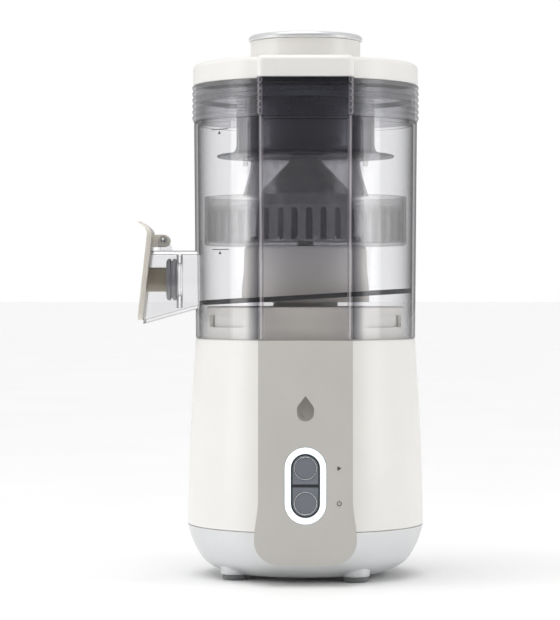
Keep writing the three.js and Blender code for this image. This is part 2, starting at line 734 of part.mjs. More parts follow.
function tactileSwitch() {
  const body = box(SWITCH_SIZE, SWITCH_DEPTH, SWITCH_SIZE);
  body.translate(0, switchFront + PLUNGER_LENGTH + SWITCH_DEPTH / 2, 0);
  const plunger = extruded(arc(0, 0, PLUNGER_RADIUS, 0, 330, 11), "y",
    switchFront, switchFront + PLUNGER_LENGTH + EXTRA);
  return join(body, plunger);
}

function buildControls() {
  add(juicer, "front_panel", frontPanel(), greige);
  const controls = new THREE.Group();
  const faceY = -bulgeFront - (panelTopZ - ringZ) * Math.tan(panelTilt);
  controls.position.set(0, faceY, ringZ);
  controls.rotation.x = -panelTilt;
  juicer.add(controls);
  const diffuser = cut(
    extruded(stadium(RING_WIDTH, RING_LENGTH), "y", -RING_PROUD, PANEL_WALL),
    extruded(stadium(RING_WIDTH - 2 * RING_BAND, RING_LENGTH - 2 * RING_BAND), "y",
      -EXTRA, 2 * PANEL_WALL));
  add(controls, "light_ring", diffuser, lightRing);
  add(controls, "button_frame", buttonFrame(), darkPlastic);
  add(controls, "start_button", button(1), buttonGrey);
  add(controls, "start_button_trim", buttonTrim(1), chrome);
  add(controls, "power_button", button(-1), buttonGrey);
  add(controls, "power_button_trim", buttonTrim(-1), chrome);
  const boardY = switchFront + PLUNGER_LENGTH + SWITCH_DEPTH + GAP + BOARD_THICKNESS / 2;
  const board = box(BOARD_WIDTH, BOARD_THICKNESS, BOARD_LENGTH).translate(0, boardY, 0);
  add(controls, "control_board", board, boardGreen);
  const middle = RING_LENGTH / 2 - RING_WIDTH / 2;
  add(controls, "start_switch", tactileSwitch(), darkPlastic).position.z = middle;
  add(controls, "power_switch", tactileSwitch(), darkPlastic).position.z = -middle;
}

// ---- Motor -----------------------------------------------------------------------------------

// A bracket's plate lies under z = 0, its bearing hub rises to hubTop, its legs reach to legEnd.
function bracket(plateTop, hubFoot, hubTop, legEnd, ears) {
  const plate = rod(bracketRadius, plateTop - BRACKET_PLATE, plateTop, ROUND);
  const hub = rod(BEARING_RADIUS + BEARING_SEAT_WALL, hubFoot, hubTop, ROUND);
  const legFrom = Math.min(plateTop - 1, legEnd);
  const legTo = Math.max(plateTop - 1, legEnd);
  const leg = rod(BRACKET_LEG_RADIUS, legFrom, legTo, SMALL).translate(legCircle, 0, 0);
  const ear = rod(ISOLATOR_RADIUS, plateTop - BRACKET_PLATE, plateTop, SMALL).translate(postCircle, 0, 0);
  const arm = box(postCircle / 2, 2 * ISOLATOR_RADIUS, BRACKET_PLATE)
    .translate((3 * postCircle) / 4, 0, plateTop - BRACKET_PLATE / 2);
  const arms = ears ? [...around(ear, POST_ANGLES), ...around(arm, POST_ANGLES)] : [];
  return join(plate, hub, ...around(leg, BRACKET_LEG_ANGLES), ...arms);
}

function upperBracket() {
  const body = bracket(0, -BRACKET_PLATE, BEARING_HEIGHT + GAP, statorTop + GAP, true);
  const seat = rod(BEARING_RADIUS + GAP, 0, 2 * BEARING_HEIGHT, ROUND);
  const bore = rod(BEARING_RADIUS - BEARING_SEAT_WALL / 2, -2 * BRACKET_PLATE, EXTRA, ROUND);
  return cut(body, seat, bore);
}

function lowerBracket() {
  const foot = lowerPlateTop - BRACKET_PLATE;
  const body = bracket(lowerPlateTop, foot - BEARING_HEIGHT, lowerPlateTop, statorFoot - GAP, false);
  const seat = rod(BEARING_RADIUS + GAP, foot - 2 * BEARING_HEIGHT, foot, ROUND);
  const bore = rod(BEARING_RADIUS - BEARING_SEAT_WALL / 2, foot - EXTRA, lowerPlateTop + EXTRA, ROUND);
  return cut(body, seat, bore);
}

function bearing(from) {
  return ring(BEARING_RADIUS, SHAFT_RADIUS + GAP, from, from + BEARING_HEIGHT - GAP, ROUND);
}

function statorCore() {
  const body = ring(statorRadius, CORE_RADIUS + RUN, statorFoot, statorTop, ROUND);
  const slot = rod(COIL_RADIUS + GAP, statorFoot - EXTRA, statorTop + EXTRA, SMALL);
  slot.translate(coilCircle, 0, 0);
  return cut(body, ...around(slot, [45, 135, 225, 315]));
}

// One field coil: two straight sides through the stator and two round ends across the front.
function fieldCoil() {
  const low = statorFoot - COIL_REACH;
  const high = statorTop + COIL_REACH;
  const side = rod(COIL_RADIUS, low, high, 6).translate(coilCircle, 0, 0);
  const corner = new THREE.SphereGeometry(COIL_RADIUS, 6, 5).translate(coilCircle, 0, 0);
  const section = new THREE.Shape(arc(0, 0, COIL_RADIUS, 0, 300, 5));
  const pieces = [];
  for (const z of [low, high]) {
    const route = arc(0, 0, coilCircle, -45, -135, 8);
    const path = new THREE.CatmullRomCurve3(route.map((point) => new THREE.Vector3(point.x, point.y, z)));
    pieces.push(new THREE.ExtrudeGeometry(section, { steps: 6, extrudePath: path }));
    pieces.push(...around(corner.clone().translate(0, 0, z), [-45, -135]));
  }
  return join(...around(side, [-45, -135]), ...pieces);
}

function brush() {
  const body = box(BRUSH_LENGTH, BRUSH_WIDTH, BRUSH_WIDTH);
  const from = COMMUTATOR_RADIUS + RUN;
  body.translate(from + BRUSH_LENGTH / 2, 0, (commutatorTop + commutatorFoot) / 2);
  const support = box(BRUSH_WIDTH, BRUSH_WIDTH, (commutatorTop - lowerPlateTop) / 2);
  support.translate(from + BRUSH_LENGTH / 2, 0, lowerPlateTop + GAP + (commutatorTop - lowerPlateTop) / 4);
  return join(body, support);
}

function armatureCore() {
  const body = ring(CORE_RADIUS, SHAFT_RADIUS + GAP, coreFoot, coreTop, ROUND);
  const slot = rod(CORE_SLOT_RADIUS, coreFoot - EXTRA, coreTop + EXTRA, 6);
  slot.translate(coreSlotCircle, 0, 0);
  return cut(body, ...around(slot, fullTurn(CORE_SLOTS)));
}

function armatureWinding() {
  const inner = SHAFT_RADIUS + BEARING_SEAT_WALL;
  const outer = coreSlotCircle + CORE_SLOT_RADIUS;
  const endTurn = (from, to) => ring(outer, inner, from, to, ROUND);
  const bar = rod(CORE_SLOT_RADIUS - GAP, coreFoot - END_TURN / 2, coreTop + END_TURN / 2, 6);
  bar.translate(coreSlotCircle, 0, 0);
  return join(
    endTurn(coreFoot - END_TURN, coreFoot - GAP),
    endTurn(coreTop + GAP, coreTop + END_TURN),
    ...around(bar, fullTurn(CORE_SLOTS)));
}

function coolingFan() {
  const foot = fanTop - FAN_HEIGHT;
  const hub = rod(BEARING_RADIUS, foot, fanTop, ROUND);
  const disc = rod(fanRadius, foot, foot + 1.2, ROUND);
  const blade = box(fanRadius - BEARING_RADIUS, 1.2, FAN_HEIGHT - EXTRA);
  blade.translate((fanRadius + BEARING_RADIUS) / 2 - EXTRA, 0, foot + FAN_HEIGHT / 2);
  const body = join(hub, disc, ...around(blade, fullTurn(FAN_BLADES)));
  return cut(body, rod(SHAFT_RADIUS + GAP, foot - EXTRA, fanTop + EXTRA, ROUND));
}

// A wavy outline with lobes: the coupling's section, grown by extra.
function lobedOutline(extra) {
  const points = [];
  const steps = COUPLING_LOBES * 6;
  for (let i = 0; i < steps; i += 1) {
    const angle = (i / steps) * 2 * Math.PI;
    const radius = COUPLING_RADIUS + extra + COUPLING_LOBE * Math.cos(COUPLING_LOBES * angle);
    points.push(new THREE.Vector2(radius * Math.cos(angle), radius * Math.sin(angle)));
  }
  return points;
}

function buildMotor() {
  const motor = new THREE.Group();
  motor.position.z = motorZ;
  juicer.add(motor);
  POST_ANGLES.forEach((angle, i) => {
    const turn = THREE.MathUtils.degToRad(angle);
    const mesh = add(motor, `mount_isolator_${i + 1}`,
      rod(ISOLATOR_RADIUS, GAP, GAP + ISOLATOR_HEIGHT, SMALL), rubberBlack);
    mesh.position.set(postCircle * Math.cos(turn), postCircle * Math.sin(turn), 0);
  });
  add(motor, "motor_upper_bracket", upperBracket(), steel);
  add(motor, "motor_lower_bracket", lowerBracket(), steel);
  add(motor, "upper_bearing", bearing(GAP), chrome);
  add(motor, "lower_bearing", bearing(lowerPlateTop - BRACKET_PLATE - BEARING_HEIGHT), chrome);
  add(motor, "stator_core", statorCore(), laminated);
  add(motor, "field_coil_front", fieldCoil(), copper);
  add(motor, "field_coil_rear", fieldCoil(), copper).rotation.z = Math.PI;
  add(motor, "brush_right", brush(), darkPlastic);
  add(motor, "brush_left", brush(), darkPlastic).rotation.z = Math.PI;
  add(motor, "armature_core", armatureCore(), laminated);
  add(motor, "armature_winding", armatureWinding(), copper);
  const commutator = ring(COMMUTATOR_RADIUS, SHAFT_RADIUS + GAP, commutatorFoot, commutatorTop, ROUND);
  add(motor, "commutator", commutator, copper);
  add(motor, "cooling_fan", coolingFan(), fanPlastic);
  const shaftTop = couplingZ + COUPLING_LENGTH - COUPLING_RADIUS / 2;
  add(juicer, "motor_shaft", rod(SHAFT_RADIUS, motorZ + shaftFoot, shaftTop, SMALL), steel);
  const dog = cut(
    extruded(lobedOutline(0), "z", couplingZ, couplingZ + COUPLING_LENGTH),
    rod(SHAFT_RADIUS + GAP, couplingZ - EXTRA, shaftTop + GAP, SMALL));
  add(juicer, "drive_coupling", dog, darkPlastic);
}

// ---- Bowl ------------------------------------------------------------------------------------

// The spout seen from the side, moved in by inset and run past its mouth.
function spoutOutline(inset) {
  const slope = (SPOUT_ROOT_FOOT - SPOUT_MOUTH_FOOT) / SPOUT_FOOT_REACH;
  const from = spoutX + 4 * BOWL_WALL + inset;
  const past = spoutX - SPOUT_FOOT_REACH - SPOUT_ROUND;
  const footAt = (x) => bowlZ + SPOUT_ROOT_FOOT + inset + (x - spoutX) * slope;
  const top = bowlZ + SPOUT_TOP - inset;
  return [
    new THREE.Vector2(from, footAt(from)),
    new THREE.Vector2(from, top),
    new THREE.Vector2(past, top),
    new THREE.Vector2(past, footAt(past)),
  ];
}

function spoutBlock(inset, round) {
  const half = SPOUT_HALF_WIDTH - inset;
  return extruded(spoutOutline(inset), "y", -half, half, round);
}

// All that lies beyond the spout's slanted mouth.
function beyondMouth() {
  const along = mouthTop.clone().sub(mouthFoot).setLength(SPOUT_TOP);
  const high = mouthTop.clone().add(along);
  const low = mouthFoot.clone().sub(along);
  const out = new THREE.Vector2(-SPOUT_TOP, 0);
  return extruded([high, low, low.clone().add(out), high.clone().add(out)], "y",
    -2 * SPOUT_HALF_WIDTH, 2 * SPOUT_HALF_WIDTH);
}

function roundAlongX(radius, z, from, to) {
  return extruded(arc(0, z, radius, 0, 345, 23), "x", from, to);
}

function roundAlongY(radius, from, to) {
  return extruded(arc(hingeX, hingeZ, radius, 0, 330, 11), "y", from, to);
}

// The two legs that carry the hinge pin on top of the spout.
function hingeBrackets() {
  const foot = bowlZ + SPOUT_TOP - SPOUT_WALL / 2;
  const profile = [
    ...arc(hingeX, hingeZ, HINGE_BRACKET_RADIUS, 0, 180, 6),
    new THREE.Vector2(hingeX - HINGE_BRACKET_RADIUS, foot),
    new THREE.Vector2(hingeX + 2 * HINGE_BRACKET_RADIUS, foot),
  ];
  return [1, -1].map((side) => {
    const inner = side * (HINGE_BRACKET_OUT - HINGE_BRACKET_WALL);
    const outer = side * HINGE_BRACKET_OUT;
    return extruded(profile, "y", Math.min(inner, outer), Math.max(inner, outer));
  });
}

function juiceBowl() {
  const outer = bowlPrism(0, bowlZ + GAP, rimZ);
  const inner = bowlPrism(BOWL_WALL, bowlZ - EXTRA, rimZ - BOWL_DECK);
  const spoutTube = cut(spoutBlock(0, SPOUT_ROUND), beyondMouth());
  const body = cut(join(outer, spoutTube), inner, spoutBlock(SPOUT_WALL, SPOUT_ROUND - SPOUT_WALL));
  const slice = box(SEAT_THICKNESS, 4 * SPOUT_HALF_WIDTH, 4 * SPOUT_TOP)
    .translate(seatX + SEAT_THICKNESS / 2 - GAP / 2, 0, plugZ);
  const seat = cut(common(spoutBlock(SPOUT_WALL / 2, SPOUT_ROUND - SPOUT_WALL / 2), slice),
    roundAlongX(plugRadius - SEAT_LIP, plugZ, seatX - 2 * SEAT_THICKNESS, seatX + 2 * SEAT_THICKNESS));
  const neck = rod(neckRadius, rimZ - BOWL_DECK, neckZ, WIDE);
  const neckHole = rod(neckBore, rimZ - 2 * BOWL_DECK, neckZ + EXTRA, WIDE);
  const lug = box(NECK_WALL, LUG_LENGTH, LUG_HEIGHT)
    .translate(neckRadius + LUG_PROUD - NECK_WALL / 2, 0, neckZ - 2 * LUG_HEIGHT);
  const pinHole = roundAlongY(HINGE_PIN_RADIUS + GAP, -2 * HINGE_BRACKET_OUT, 2 * HINGE_BRACKET_OUT);
  const whole = join(body, seat, neck, ...around(lug, LUG_ANGLES), ...hingeBrackets());
  return cut(whole, neckHole, pinHole);
}

// A slab parallel to the sloping juice floor, its middle at a height on the axis.
function slopedSlab(middle, thickness) {
  const slab = box(4 * BOWL_RADIUS, 4 * BOWL_RADIUS, thickness);
  return slab.rotateY(-Math.atan(FLOOR_SLOPE)).translate(0, 0, middle);
}

function juiceFloor() {
  const high = floorZ + COLUMN_HEIGHT;
  const low = floorZ - COLUMN_SKIRT;
  const foot = floorZ - 2 * COLUMN_SKIRT - BOWL_RADIUS * FLOOR_SLOPE;
  const plate = common(bowlPrism(BOWL_WALL + 2 * GAP + SEAL_WIDTH, foot, high),
    slopedSlab(floorZ - FLOOR_THICKNESS / 2, FLOOR_THICKNESS));
  const column = turned([
    [0, low],
    [COLUMN_RADIUS + COLUMN_DRAFT, low],
    [COLUMN_RADIUS - COLUMN_DRAFT, high],
    [0, high],
  ], ROUND);
  const cavity = turned([
    [0, foot],
    [COLUMN_RADIUS + COLUMN_DRAFT - COLUMN_WALL, foot],
    [COLUMN_RADIUS - COLUMN_DRAFT - COLUMN_WALL, high - COLUMN_WALL],
    [0, high - COLUMN_WALL],
  ], ROUND);
  const boss = rod(bushRadius + BUSH_BOSS_WALL, high - bossHeight, high - EXTRA, ROUND);
  const bore = rod(bushRadius + GAP, foot, high + EXTRA, ROUND);
  return cut(join(cut(join(plate, column), cavity), boss), bore);
}

function floorSeal() {
  const foot = floorZ - 2 * COLUMN_SKIRT - BOWL_RADIUS * FLOOR_SLOPE;
  const outer = bowlPrism(BOWL_WALL + GAP, foot, columnZ);
  const inner = bowlPrism(BOWL_WALL + GAP + SEAL_WIDTH, foot - EXTRA, columnZ + EXTRA);
  return common(cut(outer, inner), slopedSlab(floorZ - FLOOR_THICKNESS / 2, SEAL_HEIGHT));
}

function buildBowl() {
  add(juicer, "juice_bowl", juiceBowl(), tinted);
  add(juicer, "juice_floor", juiceFloor(), lightGrey);
  add(juicer, "floor_seal", floorSeal(), rubberBlack);
  const bushZ = columnZ - bossHeight;
  const bore = SPINDLE_RADIUS + GAP;
  add(juicer, "spindle_bush", ring(bushRadius, bore, bushZ, bushZ + BUSH_HEIGHT, ROUND), brass);
  add(juicer, "spindle_seal", ring(bushRadius, bore, columnZ - LIP_SEAL_HEIGHT, columnZ, ROUND), rubberBlack);
  add(juicer, "hinge_pin", roundAlongY(HINGE_PIN_RADIUS, -HINGE_PIN_HALF, HINGE_PIN_HALF), chrome);
  const coil = cut(roundAlongY(SPRING_RADIUS, -SPRING_HALF, SPRING_HALF),
    roundAlongY(HINGE_PIN_RADIUS + GAP, -2 * SPRING_HALF, 2 * SPRING_HALF));
  add(juicer, "flap_spring", coil, steel);
}

// ---- Spout flap ------------------------------------------------------------------------------

// The flap seen from the side: a plate along the mouth, ending in a thumb tab that leans out.
function flapSide() {
  const along = mouthTop.clone().sub(mouthFoot).normalize();
  const out = new THREE.Vector2(-along.y, along.x);
  const inside = mouthFoot.clone().addScaledVector(out, RUN);
  const rise = (z) => inside.clone().addScaledVector(along, (z - inside.y) / along.y);
  const low = rise(bowlZ + FLAP_FOOT_RISE);
  const bend = rise(hingeZ + FLAP_CLIP_RADIUS);
  const tip = bend.clone().add(new THREE.Vector2(-FLAP_TAB_LEAN, bowlZ + FLAP_TAB_RISE - bend.y));
  const knee = new THREE.Vector2(bend.x, (bend.y + tip.y) / 2);
  const face = new THREE.QuadraticBezierCurve(bend, knee, tip).getPoints(4);
  const back = face.map((point) => point.clone().addScaledVector(out, FLAP_THICKNESS)).reverse();
  return [low, ...face, ...back, low.clone().addScaledVector(out, FLAP_THICKNESS)];
}

// The flap seen from its front: rounded corners, the tab narrower than the plate.
function flapFace() {
  const low = bowlZ + FLAP_FOOT_RISE;
  const high = bowlZ + FLAP_TAB_RISE;
  const half = flapHalfWidth;
  const corner = FLAP_CORNER;
  return [
    ...arc(half - corner, low + corner, corner, -90, 0, 4),
    ...arc(half - 2 * corner, high - 2 * corner, 2 * corner, 0, 90, 5),
    ...arc(-half + 2 * corner, high - 2 * corner, 2 * corner, 90, 180, 5),
    ...arc(-half + corner, low + corner, corner, 180, 270, 4),
  ];
}

function spoutFlap() {
  const reach = SPOUT_FOOT_REACH + 2 * FLAP_THICKNESS + FLAP_TAB_LEAN;
  const plate = common(
    extruded(flapSide(), "y", -2 * flapHalfWidth, 2 * flapHalfWidth),
    extruded(flapFace(), "x", spoutX - reach, spoutX));
  const armFrom = SPRING_HALF + GAP;
  const armTo = HINGE_BRACKET_OUT - HINGE_BRACKET_WALL - GAP;
  const profile = [
    ...arc(hingeX, hingeZ, FLAP_CLIP_RADIUS, -90, 90, 6),
    new THREE.Vector2(mouthTop.x - RUN - FLAP_THICKNESS / 2, hingeZ + FLAP_CLIP_RADIUS),
    new THREE.Vector2(mouthTop.x - RUN - FLAP_THICKNESS / 2, hingeZ - FLAP_CLIP_RADIUS),
  ];
  const arms = [
    extruded(profile, "y", armFrom, armTo),
    extruded(profile, "y", -armTo, -armFrom),
  ];
  const hole = roundAlongY(HINGE_PIN_RADIUS + GAP, -2 * armTo, 2 * armTo);
  return cut(join(plate, ...arms), hole);
}

function buildFlap() {
  add(juicer, "spout_flap", spoutFlap(), cream);
  const discFace = seatX - GAP - GAP / 2;
  const discBack = discFace - PLUG_THICKNESS;
  add(juicer, "plug_seal", roundAlongX(plugRadius, plugZ, discBack, discFace), plugGrey);
  const along = mouthTop.clone().sub(mouthFoot);
  const flapX = mouthFoot.x + (along.x * (plugZ - mouthFoot.y)) / along.y - RUN;
  const stem = cut(
    roundAlongX(PLUG_STEM_RADIUS, plugZ, flapX - FLAP_THICKNESS, discBack - GAP),
    extruded(flapSide().map((point) => point.clone().add(new THREE.Vector2(GAP, 0))), "y",
      -2 * flapHalfWidth, 2 * flapHalfWidth),
    extruded(flapSide().map((point) => point.clone().add(new THREE.Vector2(-FLAP_THICKNESS / 2, 0))),
      "y", -2 * flapHalfWidth, 2 * flapHalfWidth));
  add(juicer, "plug_stem", stem, plugBeige);
}

// ---- Filter basket ---------------------------------------------------------------------------

function filterBasket() {
  const floorTop = basketZ + BASKET_FLOOR;
  const body = turned([
    [SPINDLE_RADIUS + GAP, basketZ],
    [basketRadius, basketZ],
    [basketRadius, basketTopZ],
    [basketRadius - BASKET_WALL, basketTopZ],
    [basketRadius - BASKET_WALL, floorTop],
    [SPINDLE_RADIUS + GAP, floorTop],
  ], BASKET_SLOTS);
  const top = basketTopZ - BASKET_BAND;
  const slot = box(4 * BASKET_WALL, BASKET_SLOT_WIDTH, top - floorTop - GAP);
  slot.translate(basketRadius - BASKET_WALL, 0, (top + floorTop + GAP) / 2);
  return cut(body, ...around(slot, fullTurn(BASKET_SLOTS)));
}

function cutterDisc() {
  const body = ring(CUTTER_RADIUS, SPINDLE_RADIUS + GAP, cutterZ, cutterZ + CUTTER_THICKNESS, ROUND);
  const tooth = extruded([
    new THREE.Vector2(-CUTTER_TOOTH, cutterZ + CUTTER_THICKNESS / 2),
    new THREE.Vector2(CUTTER_TOOTH, cutterZ + CUTTER_THICKNESS / 2),
    new THREE.Vector2(CUTTER_TOOTH, cutterZ + CUTTER_THICKNESS + CUTTER_TOOTH),
  ], "x", CUTTER_RADIUS - 3.5, CUTTER_RADIUS - 0.5);
  return join(body, ...around(tooth, fullTurn(CUTTER_TEETH)));
}

function rotorCone() {
  const foot = cutterZ + CUTTER_THICKNESS + GAP;
  const height = hopperZ + CONE_PEAK - foot;
  const outside = CONE_PROFILE.map(([radius, rise]) => [radius, foot + rise * height]);
  const inside = CONE_PROFILE.map(([radius, rise]) =>
    [radius - CONE_WALL, foot + rise * (height - CONE_WALL)]);
  return turned([...outside, [0, foot + height], [0, foot + height - CONE_WALL], ...inside.reverse(),
    outside[0]], ROUND);
}

function basketSpindle() {
  const cupTop = columnZ - bossHeight - RUN;
  const cupFoot = couplingZ + GAP;
  const cavityTop = couplingZ + COUPLING_LENGTH + RUN;
  const cup = rod(COUPLING_RADIUS + COUPLING_LOBE + 3, cupFoot, cupTop, ROUND);
  const cavity = extruded(lobedOutline(RUN), "z", cupFoot - EXTRA, cavityTop);
  const stem = rod(SPINDLE_RADIUS, cupTop - EXTRA, cutterZ + CUTTER_THICKNESS + 3, SMALL);
  return cut(join(cup, stem), cavity);
}

function buildBasket() {
  add(juicer, "filter_basket", filterBasket(), clearMilky);
  const meshRadius = basketRadius - BASKET_WALL - GAP;
  add(juicer, "filter_mesh", ring(meshRadius, meshRadius - MESH_THICKNESS,
    basketZ + BASKET_FLOOR + GAP, basketTopZ - BASKET_BAND + 2, WIDE), steel);
  add(juicer, "cutter_disc", cutterDisc(), steel);
  add(juicer, "rotor_cone", rotorCone(), darkCone);
  add(juicer, "basket_spindle", basketSpindle(), darkPlastic);
}

// ---- Lid and pusher --------------------------------------------------------------------------

function lidSkirt() {
  const crest = -2 * LID_OVERHANG;
  const foot = rimZ + GAP;
  const wall = cut(
    extruded(bodyOutline(crest), "z", foot, lidZ - GAP),
    extruded(bodyOutline(crest + LID_WALL), "z", foot - EXTRA, lidDeckZ - LID_DECK),
    extruded(bodyOutline(crest + LID_WALL), "z", lidDeckZ, lidZ + EXTRA));
  const rib = ring(neckRadius, neckBore, neckZ + 2 * GAP + LID_SEAL_HEIGHT, lidDeckZ - LID_DECK / 2, WIDE);
  const hole = rod(CHUTE_RADIUS + GAP, foot, lidZ, CHUTE_FACETS);
  return cut(join(wall, rib), hole);
}

function lidCover() {
  const block = extruded(bodyOutline(-LID_OVERHANG), "z", lidZ - 2 * LID_EDGE, stemZ - GAP, LID_EDGE);
  const below = extruded(bodyOutline(-2 * LID_OVERHANG), "z", lidZ - 3 * LID_EDGE, lidZ);
  const hollow = extruded(bodyOutline(LID_WALL), "z", lidZ - EXTRA, stemZ - LID_WALL);
  const hole = rod(CHUTE_RADIUS + GAP, lidZ - EXTRA, stemZ + EXTRA, CHUTE_FACETS);
  return cut(block, below, hollow, hole);
}

function hopper() {
  const top = lidDeckZ - LID_DECK - GAP;
  const bore = CHUTE_RADIUS + GAP;
  return turned([
    [bore, hopperZ],
    [hopperRimRadius, hopperZ],
    [hopperRimRadius, hopperZ + HOPPER_RIM / 2],
    [hopperRadius, hopperZ + HOPPER_RIM],
    [hopperRadius, top],
    [hopperRadius - HOPPER_WALL, top],
    [hopperRadius - HOPPER_WALL, hopperZ + HOPPER_RIM],
    [bore, hopperZ + HOPPER_RIM],
  ], WIDE);
}

function feedChute() {
  const flangeZ = lidDeckZ + GAP;
  return turned([
    [chuteBore, hopperZ],
    [CHUTE_RADIUS, hopperZ],
    [CHUTE_RADIUS, flangeZ],
    [CHUTE_RADIUS + CHUTE_FLANGE, flangeZ],
    [CHUTE_RADIUS + CHUTE_FLANGE, lidZ - GAP],
    [CHUTE_RADIUS, lidZ - GAP],
    [CHUTE_RADIUS, stemZ - GAP],
    [chuteBore, stemZ - GAP],
  ], CHUTE_FACETS);
}

function feedGuide() {
  const foot = basketTopZ + RUN;
  const top = hopperZ - GAP;
  return turned([
    [guideRadius + GUIDE_FLARE - GUIDE_WALL, foot],
    [guideRadius + GUIDE_FLARE, foot],
    [guideRadius, top - 2],
    [guideRadius + GUIDE_FLANGE, top - 1],
    [guideRadius + GUIDE_FLANGE, top],
    [guideRadius - GUIDE_WALL, top],
  ], WIDE);
}

function buildLid() {
  add(juicer, "lid_skirt", lidSkirt(), clearMilky);
  add(juicer, "lid_cover", lidCover(), whitePlastic);
  const seal = ring(neckRadius, neckBore, neckZ + GAP, neckZ + GAP + LID_SEAL_HEIGHT, WIDE);
  add(juicer, "lid_seal", seal, rubberGrey);
  add(juicer, "hopper", hopper(), lightGrey);
  add(juicer, "feed_chute", feedChute(), darkPlastic);
  add(juicer, "feed_guide", feedGuide(), clearMilky);
}

function pusherBody() {
  const top = capZ - GAP;
  return turned([
    [0, pusherFootZ],
    [pusherRadius, pusherFootZ],
    [pusherRadius, stemZ],
    [stemRadius, stemZ],
    [stemRadius, top],
    [pusherRadius - PUSHER_WALL, top],
    [pusherRadius - PUSHER_WALL, pusherFootZ + PUSHER_WALL],
    [0, pusherFootZ + PUSHER_WALL],
  ], CHUTE_FACETS);
}

function pusherCap() {
  const top = capZ + CAP_HEIGHT;
  const ringRadius = pusherRadius - PUSHER_WALL - GAP;
  return turned([
    [0, capZ],
    [ringRadius - PUSHER_WALL, capZ],
    [ringRadius - PUSHER_WALL, capZ - CAP_RING_HEIGHT],
    [ringRadius, capZ - CAP_RING_HEIGHT],
    [ringRadius, capZ],
    [capRadius, capZ],
    ...arc(capRadius - CAP_EDGE, top - CAP_EDGE, CAP_EDGE, 0, 90, 3).map((point) => [point.x, point.y]),
    [0, top],
  ], CHUTE_FACETS);
}

function buildPusher() {
  add(juicer, "pusher_body", pusherBody(), whitePlastic);
  add(juicer, "pusher_cap", pusherCap(), silver);
}

buildBase();
buildControls();
buildMotor();
buildBowl();
buildFlap();
buildBasket();
buildLid();
buildPusher();

export default juicer;
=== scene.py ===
"""A countertop centrifugal juicer: finished pieces on their CAD frame, finishes, light and camera.

Sizes are in millimetres and become metres when a mesh is made. Z points up, the front faces -Y and
the spout faces -X, as in the CAD.
"""

import logging
import math
from dataclasses import dataclass, field
from enum import Enum

import bpy
from mathutils import Matrix, Vector


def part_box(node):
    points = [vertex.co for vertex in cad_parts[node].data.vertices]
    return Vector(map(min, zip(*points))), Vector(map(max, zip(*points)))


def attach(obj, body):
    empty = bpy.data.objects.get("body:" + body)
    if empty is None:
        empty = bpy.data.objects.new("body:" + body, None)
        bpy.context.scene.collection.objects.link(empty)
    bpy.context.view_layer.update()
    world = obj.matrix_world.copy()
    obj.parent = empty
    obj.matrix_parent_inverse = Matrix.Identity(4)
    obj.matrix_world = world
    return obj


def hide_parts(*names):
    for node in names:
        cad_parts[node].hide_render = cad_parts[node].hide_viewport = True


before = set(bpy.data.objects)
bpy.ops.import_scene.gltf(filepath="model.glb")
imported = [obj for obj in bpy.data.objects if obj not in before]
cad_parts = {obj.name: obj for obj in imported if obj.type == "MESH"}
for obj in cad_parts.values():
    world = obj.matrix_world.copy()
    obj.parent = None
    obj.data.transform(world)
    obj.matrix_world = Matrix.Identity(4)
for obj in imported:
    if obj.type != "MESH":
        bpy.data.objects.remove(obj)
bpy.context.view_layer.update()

MM = 0.001
LOG = logging.getLogger("juicer")
Point = tuple[float, float]
Place = tuple[float, float, float]
Colour = tuple[float, float, float]
Piece = bpy.types.Object
Socket = bpy.types.NodeSocket
GAP = 0.3  # between neighbouring parts
MERGE = 0.002 * MM  # points closer than this become one
WIDE = 144  # facets round the whole body
ROUND = 64  # round a hand's width
SMALL = 28  # round pins and bosses


class Axis(Enum):
    """The axis that an outline is extruded or turned along, as a unit vector."""

    X = (1.0, 0.0, 0.0)
    Y = (0.0, 1.0, 0.0)
    Z = (0.0, 0.0, 1.0)

    def place(self, across: float, up: float, along: float) -> Place:
        """Puts a point of an outline drawn across this axis into space.

        Args:
            across: the outline's first coordinate.
            up: the outline's second coordinate.
            along: where the outline lies on the axis.

        Returns:
            The point's x, y and z.
        """
        if self is Axis.X:
            return (along, across, up)
        if self is Axis.Y:
            return (across, along, up)
        return (across, up, along)


class How(Enum):
    """What one body does to another: it is joined on, cut out, or all that is kept."""

    JOIN = "UNION"
    CUT = "DIFFERENCE"
    TRIM = "INTERSECT"


@dataclass(frozen=True)
class Box:
    """A CAD node's box in millimetres."""

    low: Vector
    high: Vector

    @classmethod
    def of(cls, node: str) -> "Box":
        """The box of the CAD node with this name."""
        low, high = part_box(node)
        return cls(low / MM, high / MM)

    @property
    def radius(self) -> float:
        """Half of its width along X."""
        return (self.high.x - self.low.x) / 2

    @property
    def centre(self) -> Vector:
        """Its middle."""
        return (self.low + self.high) / 2


# ---- Outlines ------------------------------------------------------------------------------


def arc(x: float, y: float, radius: float, start: float, end: float, steps: int) -> list[Point]:
    """Points of a round stretch.

    Args:
        x: its centre's first coordinate.
        y: its centre's second coordinate.
        radius: its radius.
        start: its first angle in degrees.
        end: its last angle in degrees.
        steps: how many stretches it is cut into.

    Returns:
        The points, both ends included.
    """
    turns = [math.radians(start + (end - start) * i / steps) for i in range(steps + 1)]
    return [(x + radius * math.cos(t), y + radius * math.sin(t)) for t in turns]


def stadium(width: float, length: float, steps: int = 20) -> list[Point]:
    """An upright stadium round the origin.

    Args:
        width: its width.
        length: its height.
        steps: stretches of each round end.

    Returns:
        Its outline.
    """
    radius, middle = width / 2, (length - width) / 2
    return arc(0, middle, radius, 0, 180, steps) + arc(0, -middle, radius, 180, 360, steps)


